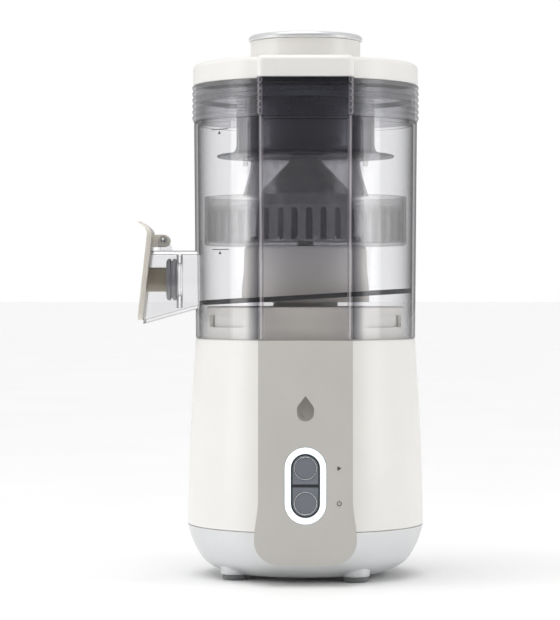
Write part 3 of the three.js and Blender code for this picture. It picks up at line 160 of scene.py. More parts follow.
def eased(knots: list[Point], steps: int) -> list[Point]:
    """A smooth line through knots.

    Args:
        knots: the points that it passes.
        steps: stretches between two knots.

    Returns:
        The line's points, both ends included.
    """
    padded = [knots[0], *knots, knots[-1]]
    line = []
    for i in range(len(knots) - 1):
        a, b, c, d = (Vector(p) for p in padded[i:i + 4])
        for j in range(steps):
            t = j / steps
            line.append(tuple(0.5 * (2 * b + (c - a) * t + (2 * a - 5 * b + 4 * c - d) * t ** 2
                                     + (3 * b - a - 3 * c + d) * t ** 3)))
    return [*line, knots[-1]]


@dataclass(frozen=True)
class BodyOutline:
    """The outline that bowl and lid share from above: a circle with a flat-fronted bulge."""

    radius: float = 82.8
    half_width: float = 33.6
    front: float = 90.0
    corner: float = 4.0

    def points(self, inset: float = 0.0) -> list[Point]:
        """The outline, moved in by inset, or out when it is negative."""
        radius, half, front = self.radius - inset, self.half_width - inset, self.front - inset
        corner = max(self.corner - inset, 0.5)
        meet = math.degrees(math.acos(half / radius))
        return [
            *arc(0, 0, radius, -meet, 180 + meet, 104),
            *arc(-half + corner, -front + corner, corner, 180, 270, 8),
            *arc(half - corner, -front + corner, corner, 270, 360, 8),
        ]


# ---- Modelling -----------------------------------------------------------------------------


class Bench:
    """The steps that every piece is modelled with."""

    @staticmethod
    def clear() -> None:
        """Leaves edit mode and deselects everything."""
        if bpy.context.mode != "OBJECT":
            bpy.ops.object.mode_set(mode="OBJECT")
        bpy.ops.object.select_all(action="DESELECT")

    @staticmethod
    def pick(obj: Piece, *others: Piece) -> None:
        """Selects obj and the others, and makes obj the active one."""
        Bench.clear()
        for each in (obj, *others):
            each.select_set(True)
        bpy.context.view_layer.objects.active = obj

    @staticmethod
    def settle(obj: Piece) -> Piece:
        """Moves an object's place, turn and size into its mesh."""
        Bench.pick(obj)
        bpy.ops.object.transform_apply(location=True, rotation=True, scale=True)
        return obj

    @staticmethod
    def stroke(points: list[Place], filled: bool) -> Piece:
        """Draws edges through points by extruding one vertex, and stays in edit mode.

        Args:
            points: the corners in millimetres.
            filled: whether the line is closed and filled with a face.

        Returns:
            The new object, all of it selected.
        """
        Bench.clear()
        bpy.ops.mesh.primitive_plane_add(size=MM)
        obj = bpy.context.object
        bpy.ops.object.mode_set(mode="EDIT")
        bpy.ops.mesh.select_mode(type="VERT")
        bpy.ops.mesh.merge(type="CENTER")
        here = Vector(points[0])
        bpy.ops.transform.translate(value=here * MM)
        for point in points[1:]:
            step = (Vector(point) - here) * MM
            bpy.ops.mesh.extrude_vertices_move(TRANSFORM_OT_translate={"value": step})
            here = Vector(point)
        bpy.ops.mesh.select_all(action="SELECT")
        if filled:
            bpy.ops.mesh.edge_face_add()
        return obj

    @staticmethod
    def deselect_points() -> None:
        """Deselects all of the active mesh, ready to have points picked in code."""
        bpy.ops.object.mode_set(mode="EDIT")
        bpy.ops.mesh.select_mode(type="VERT")
        bpy.ops.mesh.select_all(action="DESELECT")
        bpy.ops.object.mode_set(mode="OBJECT")

    @staticmethod
    def tidy_normals() -> None:
        """In edit mode, merges doubles and points the faces outwards."""
        bpy.ops.mesh.select_all(action="SELECT")
        bpy.ops.mesh.remove_doubles(threshold=MERGE)
        bpy.ops.mesh.normals_make_consistent(inside=False)
        bpy.ops.object.mode_set(mode="OBJECT")

    @staticmethod
    def turned(profile: list[Point], steps: int, sweep: float = 360.0) -> Piece:
        """Turns a profile round Z.

        Args:
            profile: [radius, height] points, from axis to axis or round a closed ring.
            steps: facets round the axis.
            sweep: how far it turns, in degrees.

        Returns:
            The turned body.
        """
        points = [(radius, 0.0, height) for radius, height in profile]
        full = abs(sweep - 360.0) < 1e-6
        if profile[0][0] > 1e-6 and full:
            points.append(points[0])
        obj = Bench.stroke(points, filled=not full)
        bpy.ops.mesh.spin(steps=steps, angle=math.radians(sweep), center=(0, 0, 0), axis=(0, 0, 1))
        Bench.tidy_normals()
        return obj

    @staticmethod
    def disc(profile: list[Point], axis: Axis, facets: int = ROUND) -> Piece:
        """Turns a profile round an axis other than Z, whose heights run along +Y, -Y or X.

        Args:
            profile: [radius, height] points.
            axis: the axis that the turned body is tipped about.
            facets: facets round it.

        Returns:
            The tipped body.
        """
        return Bench.moved(Bench.turned(profile, facets), turn=-90 if axis is Axis.X else 90, axis=axis)

    @staticmethod
    def prism(outline: list[Point], axis: Axis, start: float, end: float) -> Piece:
        """Extrudes an outline along an axis from start to end."""
        obj = Bench.stroke([axis.place(a, b, start) for a, b in outline], filled=True)
        run = Vector(axis.value) * (end - start) * MM
        bpy.ops.mesh.extrude_region_move(TRANSFORM_OT_translate={"value": run})
        Bench.tidy_normals()
        return obj

    @staticmethod
    def stack(outline: list[Point], levels: list[Point]) -> Piece:
        """Extrudes an outline upwards through levels that change its size.

        Args:
            outline: the outline at full size.
            levels: [height, scale] pairs from the foot up.

        Returns:
            The closed body.
        """
        height, scale = levels[0]
        obj = Bench.stroke([(x * scale, y * scale, height) for x, y in outline], filled=True)
        for there, size in levels[1:]:
            rise = (0, 0, (there - height) * MM)
            bpy.ops.mesh.extrude_region_move(TRANSFORM_OT_translate={"value": rise})
            ratio = size / scale
            bpy.ops.transform.resize(value=(ratio, ratio, 1), center_override=(0, 0, 0))
            height, scale = there, size
        Bench.tidy_normals()
        return obj

    @staticmethod
    def block(low: Place, high: Place) -> Piece:
        """A cutting block between two corners."""
        Bench.clear()
        middle = (Vector(low) + Vector(high)) / 2 * MM
        bpy.ops.mesh.primitive_cube_add(size=1, location=middle, scale=(Vector(high) - Vector(low)) * MM)
        return Bench.settle(bpy.context.object)

    @staticmethod
    def rod(radius: float, axis: Axis, centre: Place, length: float,
            facets: int = SMALL) -> Piece:
        """A rod along an axis, used to cut a bore or to add a boss.

        Args:
            radius: its radius.
            axis: the axis that it lies along.
            centre: its middle.
            length: its length.
            facets: facets round it.

        Returns:
            The rod.
        """
        Bench.clear()
        turn = {Axis.X: (0, math.pi / 2, 0), Axis.Y: (math.pi / 2, 0, 0), Axis.Z: (0, 0, 0)}[axis]
        bpy.ops.mesh.primitive_cylinder_add(vertices=facets, radius=radius * MM, depth=length * MM,
                                            location=Vector(centre) * MM, rotation=turn)
        return Bench.settle(bpy.context.object)

    @staticmethod
    def modify(obj: Piece, kind: str, **settings: object) -> Piece:
        """Adds a modifier with settings to obj and applies it."""
        Bench.pick(obj)
        modifier = obj.modifiers.new(kind.lower(), kind)
        for name, value in settings.items():
            setattr(modifier, name, value)
        bpy.ops.object.modifier_apply(modifier=modifier.name)
        return obj

    @staticmethod
    def combine(obj: Piece, how: How, *tools: Piece) -> Piece:
        """Joins, cuts or intersects obj with tools, which it uses up.

        Args:
            obj: the body that stays.
            how: what the tools do to it.
            *tools: the bodies that act on it.

        Returns:
            obj.
        """
        for tool in tools:
            Bench.modify(obj, "BOOLEAN", operation=how.value, object=tool, solver="EXACT")
            bpy.data.objects.remove(tool)
        return obj

    @staticmethod
    def bevel(obj: Piece, width: float, segments: int = 2, angle: float = 35.0) -> Piece:
        """Rounds the edges that are sharper than angle."""
        return Bench.modify(obj, "BEVEL", width=width * MM, segments=segments, limit_method="ANGLE",
                            angle_limit=math.radians(angle), use_clamp_overlap=True)

    @staticmethod
    def moved(obj: Piece, shift: Place = (0, 0, 0),
              turn: float = 0.0, axis: Axis = Axis.Z) -> Piece:
        """Turns obj round an axis through the origin by degrees, then shifts it."""
        rotation = Matrix.Rotation(math.radians(turn), 4, axis.name)
        place = Matrix.Translation(Vector(shift) * MM) @ rotation
        obj.matrix_world = place @ obj.matrix_world
        return Bench.settle(obj)

    @staticmethod
    def copied(obj: Piece, shift: Place = (0, 0, 0),
               turn: float = 0.0) -> Piece:
        """A copy of obj with its own mesh, turned round Z and shifted."""
        twin = obj.copy()
        twin.data = obj.data.copy()
        bpy.context.scene.collection.objects.link(twin)
        return Bench.moved(twin, shift, turn)

    @staticmethod
    def around(obj: Piece, angles: list[float]) -> Piece:
        """Copies obj round Z at angles in degrees, and makes all the copies one object."""
        twins = [Bench.copied(obj, turn=angle) for angle in angles]
        bpy.data.objects.remove(obj)
        Bench.pick(*twins)
        if len(twins) > 1:
            bpy.ops.object.join()
        return twins[0]


def full_turn(count: int) -> list[float]:
    """Evenly spaced angles of a full turn."""
    return [360.0 * i / count for i in range(count)]


# ---- Finishes ------------------------------------------------------------------------------


class Pattern(Enum):
    """How a finish's fine grain runs."""

    FINE = (1.0, 1.0, 1.0)
    BRUSHED_ROUND = (1.0, 1.0, 14.0)
    LAYERED = (0.02, 0.02, 8.0)
    WOUND = (0.6, 0.6, 3.0)


class Tree:
    """A material's node tree with short calls to add and join nodes."""

    def __init__(self, name: str) -> None:
        """Starts an empty tree for a new material."""
        self.material = bpy.data.materials.new(name)
        self.material.use_nodes = True
        self.tree = self.material.node_tree
        self.tree.nodes.clear()
        coordinates = self.add("ShaderNodeTexCoord")
        self.place, self.normal = coordinates.outputs["Object"], coordinates.outputs["Normal"]

    def add(self, kind: str, sockets: dict | None = None, **settings: object) -> bpy.types.Node:
        """Adds a node.

        Args:
            kind: the node's type.
            sockets: values or outputs for its inputs, by name or number.
            **settings: its own settings.

        Returns:
            The node.
        """
        node = self.tree.nodes.new(kind)
        for name, value in settings.items():
            setattr(node, name, value)
        for name, value in (sockets or {}).items():
            if isinstance(value, Socket):
                self.tree.links.new(value, node.inputs[name])
            else:
                node.inputs[name].default_value = value
        return node

    def noise(self, scale: float, detail: float = 3.0, stretch: tuple = (1, 1, 1)) -> Socket:
        """Noise on the piece's own coordinates, stretched by a factor on each axis."""
        mapped = self.add("ShaderNodeMapping", {"Vector": self.place, "Scale": stretch})
        made = self.add("ShaderNodeTexNoise", {"Vector": mapped.outputs[0], "Scale": scale,
                                               "Detail": detail})
        return made.outputs["Fac"]

    def ramp(self, value: Socket, start: float, end: float, low: float,
             high: float) -> Socket:
        """Maps a value between start and end to low and high, and holds it past them."""
        made = self.add("ShaderNodeMapRange", {"Value": value, "From Min": start, "From Max": end,
                                               "To Min": low, "To Max": high})
        return made.outputs[0]

    def spread(self, value: Socket, low: float, high: float) -> Socket:
        """Maps noise between 0.3 and 0.7 to low and high."""
        return self.ramp(value, 0.3, 0.7, low, high)

    def product(self, a: Socket, b: Socket) -> Socket:
        """Two values multiplied."""
        return self.add("ShaderNodeMath", {0: a, 1: b}, operation="MULTIPLY").outputs[0]

    def size(self, value: Socket) -> Socket:
        """A value without its sign."""
        return self.add("ShaderNodeMath", {0: value}, operation="ABSOLUTE").outputs[0]

    def power(self, value: Socket, exponent: float) -> Socket:
        """A value raised to a power."""
        return self.add("ShaderNodeMath", {0: value, 1: exponent}, operation="POWER").outputs[0]

    def scaled(self, value: Socket, factor: float, offset: Socket | float) -> Socket:
        """A value times factor plus offset, held between 0 and 1."""
        made = self.add("ShaderNodeMath", {0: value, 1: factor, 2: offset}, operation="MULTIPLY_ADD",
                        use_clamp=True)
        return made.outputs[0]

    def shaded(self, share: Socket, colour: Socket, shade: Socket | Colour) -> Socket:
        """A colour multiplied by a shade as far as share says."""
        shade = shade if isinstance(shade, Socket) else (*shade, 1)
        made = self.add("ShaderNodeMix", {0: share, 6: colour, 7: shade}, data_type="RGBA",
                        blend_type="MULTIPLY")
        return made.outputs[2]

    def mixed(self, share: Socket | float, a: Socket, b: Socket) -> Socket:
        """Two shaders mixed, b by share."""
        return self.add("ShaderNodeMixShader", {0: share, 1: a, 2: b}).outputs[0]

    def blend(self, value: Socket, a: Colour, b: Colour) -> Socket:
        """A colour between a and b by value."""
        made = self.add("ShaderNodeMix", {0: value, 6: (*a, 1), 7: (*b, 1)}, data_type="RGBA")
        return made.outputs[2]

    def bump(self, height: Socket, strength: float, depth: float) -> Socket:
        """A bumped normal of a depth in millimetres."""
        made = self.add("ShaderNodeBump", {"Height": height, "Strength": strength, "Distance": depth * MM})
        return made.outputs[0]

    def close(self, shader: Socket) -> bpy.types.Material:
        """Joins the last shader to the output."""
        self.add("ShaderNodeOutputMaterial", {"Surface": shader})
        return self.material


def linear(code: str) -> Colour:
    """A web colour such as #f4f2ee as linear light."""
    parts = [int(code[i:i + 2], 16) / 255 for i in (1, 3, 5)]
    return tuple(p / 12.92 if p <= 0.04045 else ((p + 0.055) / 1.055) ** 2.4 for p in parts)


@dataclass(frozen=True)
class Finish:
    """An opaque finish: moulded plastic, metal or rubber.

    Fields are its name, its colour and how far it varies, its roughness and metal, the grain's size
    in millimetres, its depth in millimetres and the way it runs, and the clear coat's weight.
    """

    name: str
    colour: str
    roughness: float = 0.4
    metal: float = 0.0
    varies: float = 0.035
    grain: float = 0.35
    depth: float = 0.02
    pattern: Pattern = Pattern.FINE
    coat: float = 0.0

    def material(self) -> bpy.types.Material:
        """The finish's material, made on first use."""
        return bpy.data.materials.get(self.label) or self.make()

    @property
    def label(self) -> str:
        """The material's own name, apart from the slot's."""
        return f"{self.name}_finish"

    def make(self) -> bpy.types.Material:
        """Builds the node tree: mottled colour, worn and scuffed gloss, and grain."""
        tree = Tree(self.label)
        base = linear(self.colour)
        dark = tuple(c * (1 - 2 * self.varies) for c in base)
        light = tuple(min(1.0, c * (1 + self.varies)) for c in base)
        mottle = tree.spread(tree.noise(24, 4), 0, 1)
        grain = tree.noise(1 / (self.grain * MM), 4, self.pattern.value)
        scuff = tree.noise(60, 6, (1, 1, 0.6))
        rough = tree.add("ShaderNodeMath", {0: tree.spread(scuff, -0.025, 0.035),
                                            1: tree.spread(grain, -0.03, 0.03)}, operation="ADD")
        gloss = tree.add("ShaderNodeMath", {0: rough.outputs[0], 1: self.roughness}, operation="ADD",
                         use_clamp=True)
        shader = tree.add("ShaderNodeBsdfPrincipled", {
            "Base Color": tree.blend(mottle, dark, light),
            "Roughness": gloss.outputs[0],
            "Metallic": self.metal,
            "Coat Weight": self.coat,
            "Coat Roughness": 0.12,
            "Normal": tree.bump(grain, 0.4, self.depth),
        })
        return tree.close(shader.outputs[0])


@dataclass(frozen=True)
class WallLook:
    """The sockets that give a see-through wall its tint, its share of milk and the milk's colour."""

    tint: Socket
    milk: Socket
    body: Socket


@dataclass(frozen=True)
class Window:
    """The smoked window: the bulge's flat front, a painted highlight on its corners, painted shade on its
    flanks and a band of painted shade beside the bulge.

    Places are in metres, as a material reads them. Each pair says where a change starts and ends:
    front, bulge and forward towards the front, fade upwards, the painted side shade band sideways from
    the bulge. The flank shade turn and the two highlight turns are pairs of how far a face looks to the
    side.
    """

    front: Point = (-0.0868, -0.0884)
    bulge: Point = (-0.0768, -0.0776)
    fade: Point = (0.186, 0.240)
    side_shade_band: Point = (0.0338, 0.0412)
    side_shade_band_start: float = 0.0334
    forward: Point = (0.0, -0.01)
    flank_shade_turn: Point = (0.86, 0.94)
    # how far a corner face looks to the side where the painted highlight starts and where it ends
    highlight_turn_start: Point = (0.2, 0.45)
    highlight_turn_end: Point = (0.9, 0.75)
    light: Colour = (0.99, 0.97, 0.95)
    dark: Colour = (0.74, 0.74, 0.78)
    # painted shade: the flanks' tint is darkened by this colour to draw the dark line at the bulge's edges
    flank: Colour = (0.2, 0.2, 0.23)
    # painted shade: the round wall beside the bulge is darkened by this colour, standing in for a slanted
    # side wall
    side: Colour = (0.5, 0.5, 0.53)
    # painted highlight: a pinkish milky share on the rounded corners that stands in for the side lights'
    # reflection
    corner_highlight: Colour = (0.75, 0.69, 0.74)
    corner_highlight_share: float = 0.42

    def smoke_with_painted_light(self, tree: Tree, look: WallLook, share: float) -> WallLook:
        """Darkens the front from the foot up, paints a highlight on its corners and paints shade on its
        flanks and beside the bulge.

        Args:
            tree: the material's tree.
            look: the wall's look elsewhere.
            share: how much of the wall's milk is left in the window.

        Returns:
            The wall's look with the window in it.
        """
        spot = tree.add("ShaderNodeSeparateXYZ", {0: tree.place})
        ahead, offset = spot.outputs["Y"], tree.size(spot.outputs["X"])
        turn = tree.size(tree.add("ShaderNodeSeparateXYZ", {0: tree.normal}).outputs["X"])
        front = tree.ramp(ahead, *self.front, 0.0, 1.0)
        shade = tree.blend(tree.ramp(spot.outputs["Z"], *self.fade, 0.0, 1.0), self.light, self.dark)
        tint = tree.shaded(front, look.tint, shade)
        bulge = tree.ramp(ahead, *self.bulge, 0.0, 1.0)
        # painted shade on the flanks, the bulge's faces that look sideways
        flank = tree.product(bulge, tree.ramp(turn, *self.flank_shade_turn, 0.0, 1.0))
        tint = tree.shaded(flank, tint, self.flank)
        # painted highlight: the rounded corners between front and flank get the pinkish milk
        corner = tree.product(bulge, tree.ramp(turn, *self.highlight_turn_start, 0.0, 1.0))
        corner = tree.product(corner, tree.ramp(turn, *self.highlight_turn_end, 0.0, 1.0))
        milk = tree.product(look.milk, tree.ramp(front, 0.0, 1.0, 1.0, share))
        body = tree.add("ShaderNodeMix", {0: corner, 6: look.body, 7: (*self.corner_highlight, 1)}, data_type="RGBA")
        # painted shade in a band on the round wall beside the bulge, on the front half only
        side_shade_band = tree.product(tree.ramp(offset, *self.side_shade_band, 1.0, 0.0),
                              tree.ramp(ahead, *self.forward, 0.0, 1.0))
        side_shade_band = tree.product(side_shade_band, tree.ramp(offset, self.side_shade_band_start, self.side_shade_band[0], 0.0, 1.0))
        # the tint carries the painted side shade and the milk carries the painted corner highlight
        return WallLook(tree.shaded(side_shade_band, tint, self.side), tree.scaled(corner, self.corner_highlight_share, milk),
                        body.outputs[2])


@dataclass(frozen=True)
class ClearFinish(Finish):
    """A see-through plastic.

    Fields past a finish's own are the tint that a wall seen face on gives, the tint seen along the
    wall, how milky it is, how fast it darkens towards its outline, its gloss along the wall and face
    on, and how much of its milk is left in the smoked front window, or None where it has no window.
    """

    face: Colour = (0.975, 0.975, 0.98)
    rim: Colour = (0.01, 0.01, 0.013)
    milk: float = 0.06
    fall: float = 3.0
    shine: float = 0.4
    gloss: float = 0.04
    window: float | None = None

    def make(self) -> bpy.types.Material:
        """Builds the node tree: tinted see-through, a milky share, and gloss that grows to the outline."""
        tree = Tree(self.label)
        normal = tree.bump(tree.noise(1 / (self.grain * MM), 3), 0.15, self.depth)
        facing = tree.add("ShaderNodeLayerWeight", {"Blend": 0.5}).outputs["Facing"]
        mottle = tree.spread(tree.noise(30, 3), 0, 1)
        light = linear(self.colour)
        look = WallLook(tree.blend(tree.power(facing, self.fall), self.face, self.rim),
                        tree.scaled(mottle, self.milk * 0.12, self.milk),
                        tree.blend(mottle, light, tuple(c * 0.93 for c in light)))
        if self.window is not None:
            # the smoked window, with a painted highlight on its corners and painted shade on its flanks and
            # beside the bulge
            look = Window().smoke_with_painted_light(tree, look, self.window)
        clear = tree.add("ShaderNodeBsdfTransparent", {"Color": look.tint}).outputs[0]
        diffuse = tree.add("ShaderNodeBsdfDiffuse", {"Color": look.body, "Normal": normal}).outputs[0]
        glow = tree.add("ShaderNodeBsdfTranslucent", {"Color": look.body, "Normal": normal}).outputs[0]
        wall = tree.mixed(look.milk, clear, tree.mixed(0.4, diffuse, glow))
        rough = tree.spread(tree.noise(220, 4), self.roughness - 0.02, self.roughness + 0.03)
        sheen = tree.add("ShaderNodeBsdfGlossy", {"Roughness": rough, "Normal": normal}).outputs[0]
        share = tree.scaled(tree.power(facing, 5.0), self.shine, self.gloss)
        return tree.close(tree.mixed(share, wall, sheen))


@dataclass(frozen=True)
class GlowFinish(Finish):
    """A diffuser with a lamp behind it; strength is how much light it gives."""

    strength: float = 0.55

    def make(self) -> bpy.types.Material:
        """Builds the node tree: a plastic surface that glows unevenly."""
        tree = Tree(self.label)
        grain = tree.noise(1 / (self.grain * MM), 3)
        lamps = tree.spread(tree.noise(90, 2), 0.85, 1.1)
        colour = tree.blend(lamps, linear("#d6e4f0"), linear(self.colour))
        shader = tree.add("ShaderNodeBsdfPrincipled", {
            "Base Color": colour,
            "Roughness": tree.spread(grain, self.roughness - 0.05, self.roughness + 0.05),
            "Emission Color": colour,
            "Emission Strength": self.strength,
            "Normal": tree.bump(grain, 0.3, self.depth),
        })
        return tree.close(shader.outputs[0])


WHITE = Finish("white_plastic", "#f6f4f0", 0.34, varies=0.008, grain=0.5, depth=0.006, coat=0.15)
SILVER = Finish("silver", "#e2e3e4", 0.38, metal=0.45, varies=0.02, grain=0.2, depth=0.006)
GREIGE = Finish("greige", "#cbc8c2", 0.42, varies=0.015, grain=0.4, depth=0.01, coat=0.1)
RING = GlowFinish("light_ring", "#eef5fb", 0.35)
DARK = Finish("dark_plastic", "#35383e", 0.38, varies=0.05)
BUTTON = Finish("button_grey", "#787c84", 0.4, varies=0.03, grain=0.25, depth=0.012)
CHROME = Finish("chrome", "#dcdee0", 0.14, metal=1.0, varies=0.01, depth=0.002)
GREY_RUBBER = Finish("grey_rubber", "#8b8c8e", 0.75, varies=0.05, grain=0.3, depth=0.05)
BLACK_RUBBER = Finish("black_rubber", "#1f2124", 0.7, varies=0.08, grain=0.3, depth=0.05)
BOARD = Finish("board", "#2f6b46", 0.5, varies=0.12, grain=1.2, depth=0.05)
STEEL = Finish("steel", "#a7a9ac", 0.3, metal=0.95, varies=0.04, grain=0.15, pattern=Pattern.BRUSHED_ROUND)
LAMINATED = Finish("laminated_steel", "#666b70", 0.45, metal=0.8, varies=0.08, grain=0.8, depth=0.15,
                   pattern=Pattern.LAYERED)
COPPER = Finish("copper", "#b4693a", 0.35, metal=0.9, varies=0.12, grain=0.7, depth=0.2,
                pattern=Pattern.WOUND)
BRASS = Finish("brass", "#b9964e", 0.3, metal=0.9, varies=0.05)
LIGHT_GREY = Finish("light_grey", "#eae7e3", 0.4, varies=0.025, grain=0.4)
CONE = Finish("dark_cone", "#303138", 0.3, varies=0.05, grain=0.4, depth=0.015, coat=0.3)
CREAM = Finish("cream", "#e0dbd1", 0.38, varies=0.02, grain=0.35, depth=0.015)
PLUG_BEIGE = Finish("plug_beige", "#a99f8c", 0.6, varies=0.04, grain=0.3, depth=0.03)
PLUG_GREY = Finish("plug_grey", "#9a9a9e", 0.65, varies=0.04, grain=0.3, depth=0.03)
EMBLEM = Finish("emblem_grey", "#8f8b85", 0.35, metal=0.3, varies=0.03)
MARK = Finish("mark_grey", "#4b4c50", 0.5, varies=0.06)
# the bowl and the skirt take the smoked window, with its painted corner highlight and its painted shade
SMOKED = ClearFinish("tinted", "#5a5c63", 0.05, depth=0.004, milk=0.008, fall=4.2, gloss=0.045,
                     window=1.0)
HOPPER = ClearFinish("hopper_milky", "#dcdcde", 0.15, depth=0.01, face=(0.84, 0.84, 0.86),
                     rim=(0.3, 0.3, 0.32), milk=0.16, fall=2.4)
MILKY = ClearFinish("clear_milky", "#f6f5f3", 0.12, depth=0.01, face=(0.98, 0.98, 0.98),
                    rim=(0.6, 0.6, 0.61), milk=0.2, fall=3.0)
MESH = ClearFinish("fine_mesh", "#e3e3e5", 0.3, depth=0.05, face=(0.97, 0.97, 0.97), rim=(0.6, 0.6, 0.6),
                   milk=0.08, fall=2.4)
SKIRT = ClearFinish("skirt_grey", "#dcdcde", 0.12, depth=0.01, face=(0.93, 0.93, 0.94),
                    rim=(0.34, 0.34, 0.35), milk=0.16, fall=4.5, window=0.1)


def place(obj: Piece, name: str, body: str, finish: Finish, nodes: tuple[str, ...] = (),
          smooth: float = 32.0) -> Piece:
    """Names, smooths and dresses a finished piece, and hangs it on its body.

    Args:
        obj: the piece.
        name: its name.
        body: the CAD body that it rides on.
        finish: its finish.
        nodes: the CAD nodes that it stands for.
        smooth: edges flatter than this many degrees are shaded smooth.

    Returns:
        The piece.
    """
    Bench.settle(obj)
    bpy.ops.object.shade_smooth_by_angle(angle=math.radians(smooth))
    obj.name = name
    obj.data.name = name
    obj.data.materials.clear()
    obj.data.materials.append(finish.material())
    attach(obj, body)
    if nodes:
        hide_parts(*nodes)
    obj.select_set(False)
    LOG.info("piece %s on %s", name, body)
    return obj


def dress(node: str, finish: Finish) -> None:
    """Gives a CAD node that keeps its own shape its finish."""
    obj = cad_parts[node]
    if not obj.data.materials:
        obj.data.materials.append(None)
    for i in range(len(obj.material_slots)):
        obj.material_slots[i].material = finish.material()
    LOG.info("node %s keeps its shape in %s", node, finish.name)


# ---- Base ----------------------------------------------------------------------------------


@dataclass
class Base:
    """Motor base: white shell with its plinth, silver bottom cover, feet and gland."""

    wall: float = 3.0
    lean: float = 6.0
    curve: float = 1.7
    plinth_radius: float = 73.5
    hub_radius: float = 24.0
    hub_bore: float = 16.0
    hub_height: float = 5.0
    window_length: float = 46.0
    window_low: float = 8.5
    window_high: float = 17.5
    window_angles: tuple[float, ...] = (35.0, 145.0, 215.0, 325.0)
    panel_hole: Point = (38.4, 63.2)
    cover_profile: tuple[Point, ...] = ((25.4, 0.0), (12.8, 7.0), (4.1, 21.0), (0.0, 34.0))
    cover_wall: float = 2.5
    pad_height: float = 2.5
    pad_radius: float = 10.5
    foot_ring: float = 63.0
    foot_angles: tuple[float, ...] = (-145.0, -55.0, 35.0, 125.0)
    screw_ring: float = 52.0
    screw_angles: tuple[float, ...] = (-100.0, -10.0, 80.0, 170.0)
    gland_height: float = 24.0
    gland_bore: float = 7.2
    panel_hole_height: float = 72.5
    shell: Box = field(default_factory=lambda: Box.of("base_shell"))
    cover: Box = field(default_factory=lambda: Box.of("bottom_cover"))
    bowl: Box = field(default_factory=lambda: Box.of("juice_bowl"))

    @property
    def shoulder(self) -> float:
        """The height where the shell ends under the bowl."""
        return self.bowl.low.z - GAP

    @property
    def cover_foot(self) -> float:
        """The height of the cover's flat underside."""
        return self.cover.low.z + self.pad_height

    def cover_line(self, grow: float = 0.0) -> list[Point]:
        """The cover's outer line from its underside up, moved out by grow."""
        return eased([(self.cover.radius - inset + grow, self.cover_foot + rise)
                      for inset, rise in self.cover_profile], 8)

    def side(self, inset: float, low: float, high: float, steps: int = 24) -> list[Point]:
        """Points up the shell's side.

        Args:
            inset: how far inside the outer face they lie.
            low: the lowest height.
            high: the highest height.
            steps: stretches between them.

        Returns:
            [radius, height] points.
        """
        start, span = self.shell.low.z - GAP, self.shoulder - self.shell.low.z + GAP
        heights = [low + (high - low) * i / steps for i in range(steps + 1)]
        return [(self.shell.radius - self.lean * max(0.0, (z - start) / span) ** self.curve - inset, z)
                for z in heights]

    def build_shell(self) -> None:
        """The shell, its plinth with four bayonet windows, and the hub on it."""
        top, foot, shoulder = self.shell.high.z, self.shell.low.z, self.shoulder
        deck = top - self.hub_height
        edge = self.side(0, foot, shoulder - 1.2)
        profile = [
            (edge[0][0] - 0.5, foot), (edge[0][0], foot + 0.5), *edge[1:],
            (edge[-1][0] - 0.35, shoulder - 0.5), (edge[-1][0] - 1.3, shoulder),
            (self.plinth_radius, shoulder),
            (self.plinth_radius, deck - 0.8), (self.plinth_radius - 0.8, deck),
            (self.hub_radius, deck), (self.hub_radius, top - 0.6), (self.hub_radius - 0.6, top),
            (self.hub_bore + 0.6, top), (self.hub_bore, top - 0.6), (self.hub_bore, deck - self.wall),
            (self.plinth_radius - self.wall, deck - self.wall),
            (self.plinth_radius - self.wall, shoulder - self.wall),
            *self.side(self.wall, foot, shoulder - self.wall, 10)[::-1],
        ]
        body = Bench.turned(profile, WIDE)
        low, high = shoulder + self.window_low, shoulder + self.window_high
        half = self.window_length / 2
        window = Bench.block((self.plinth_radius - 9, -half, low), (self.plinth_radius + 9, half, high))
        Bench.bevel(window, 1.5, 3)
        wide, tall, middle = self.panel_hole[0] / 2, self.panel_hole[1] / 2, self.panel_hole_height
        hole = Bench.block((-wide, -110, middle - tall), (wide, -60, middle + tall))
        Bench.combine(body, How.CUT, Bench.around(window, list(self.window_angles)), hole)
        place(body, "base_shell_fine", "base", WHITE, ("base_shell",))

    def build_liner(self) -> None:
        """The ring behind the bayonet windows that keeps juice out of the base."""
        low, high = self.shoulder + 4, self.shell.high.z - self.hub_height - self.wall - GAP
        profile = [(68.2, low), (69.5, low), (69.9, low + 0.4), (69.9, high), (68.2, high)]
        place(Bench.turned(profile, WIDE), "window_liner", "base", WHITE)

    def build_cover(self) -> None:
        """The silver bottom cover with its boss, foot pads, vents and gland boss."""
        radius = self.cover.radius
        foot, top = self.cover_foot, self.shell.low.z - GAP
        outside = self.cover_line()
        inside = [(r - self.cover_wall, min(z + 0.6 * self.cover_wall, top)) for r, z in outside]
        inside[0] = (outside[0][0] - self.cover_wall, foot + self.cover_wall)
        body = Bench.turned([(0, foot), *outside, *inside[::-1], (0, foot + self.cover_wall)], WIDE)
        boss = Bench.bevel(Bench.rod(22, Axis.Z, (0, 0, foot - 0.6), 3.8, ROUND), 0.6)
        pad = Bench.bevel(Bench.rod(self.pad_radius, Axis.Z, (0, 0, foot + 4.5), 9), 0.6)
        pads = Bench.around(Bench.moved(pad, (self.foot_ring, 0, 0)), list(self.foot_angles))
        gland = Bench.rod(self.pad_radius, Axis.Y, (0, radius - 5, self.gland_height), 10, ROUND)
        Bench.combine(body, How.JOIN, boss, pads, gland)
        vent = Bench.bevel(Bench.block((24.5, -1.7, foot - 8), (42.5, 1.7, foot + 8)), 1.6, 4)
        hole = Bench.rod(self.gland_bore, Axis.Y, (0, radius - 8, self.gland_height), 40, ROUND)
        Bench.combine(body, How.CUT, Bench.around(vent, full_turn(8)), hole)
        place(body, "bottom_cover_fine", "base", SILVER, ("bottom_cover",), 40)

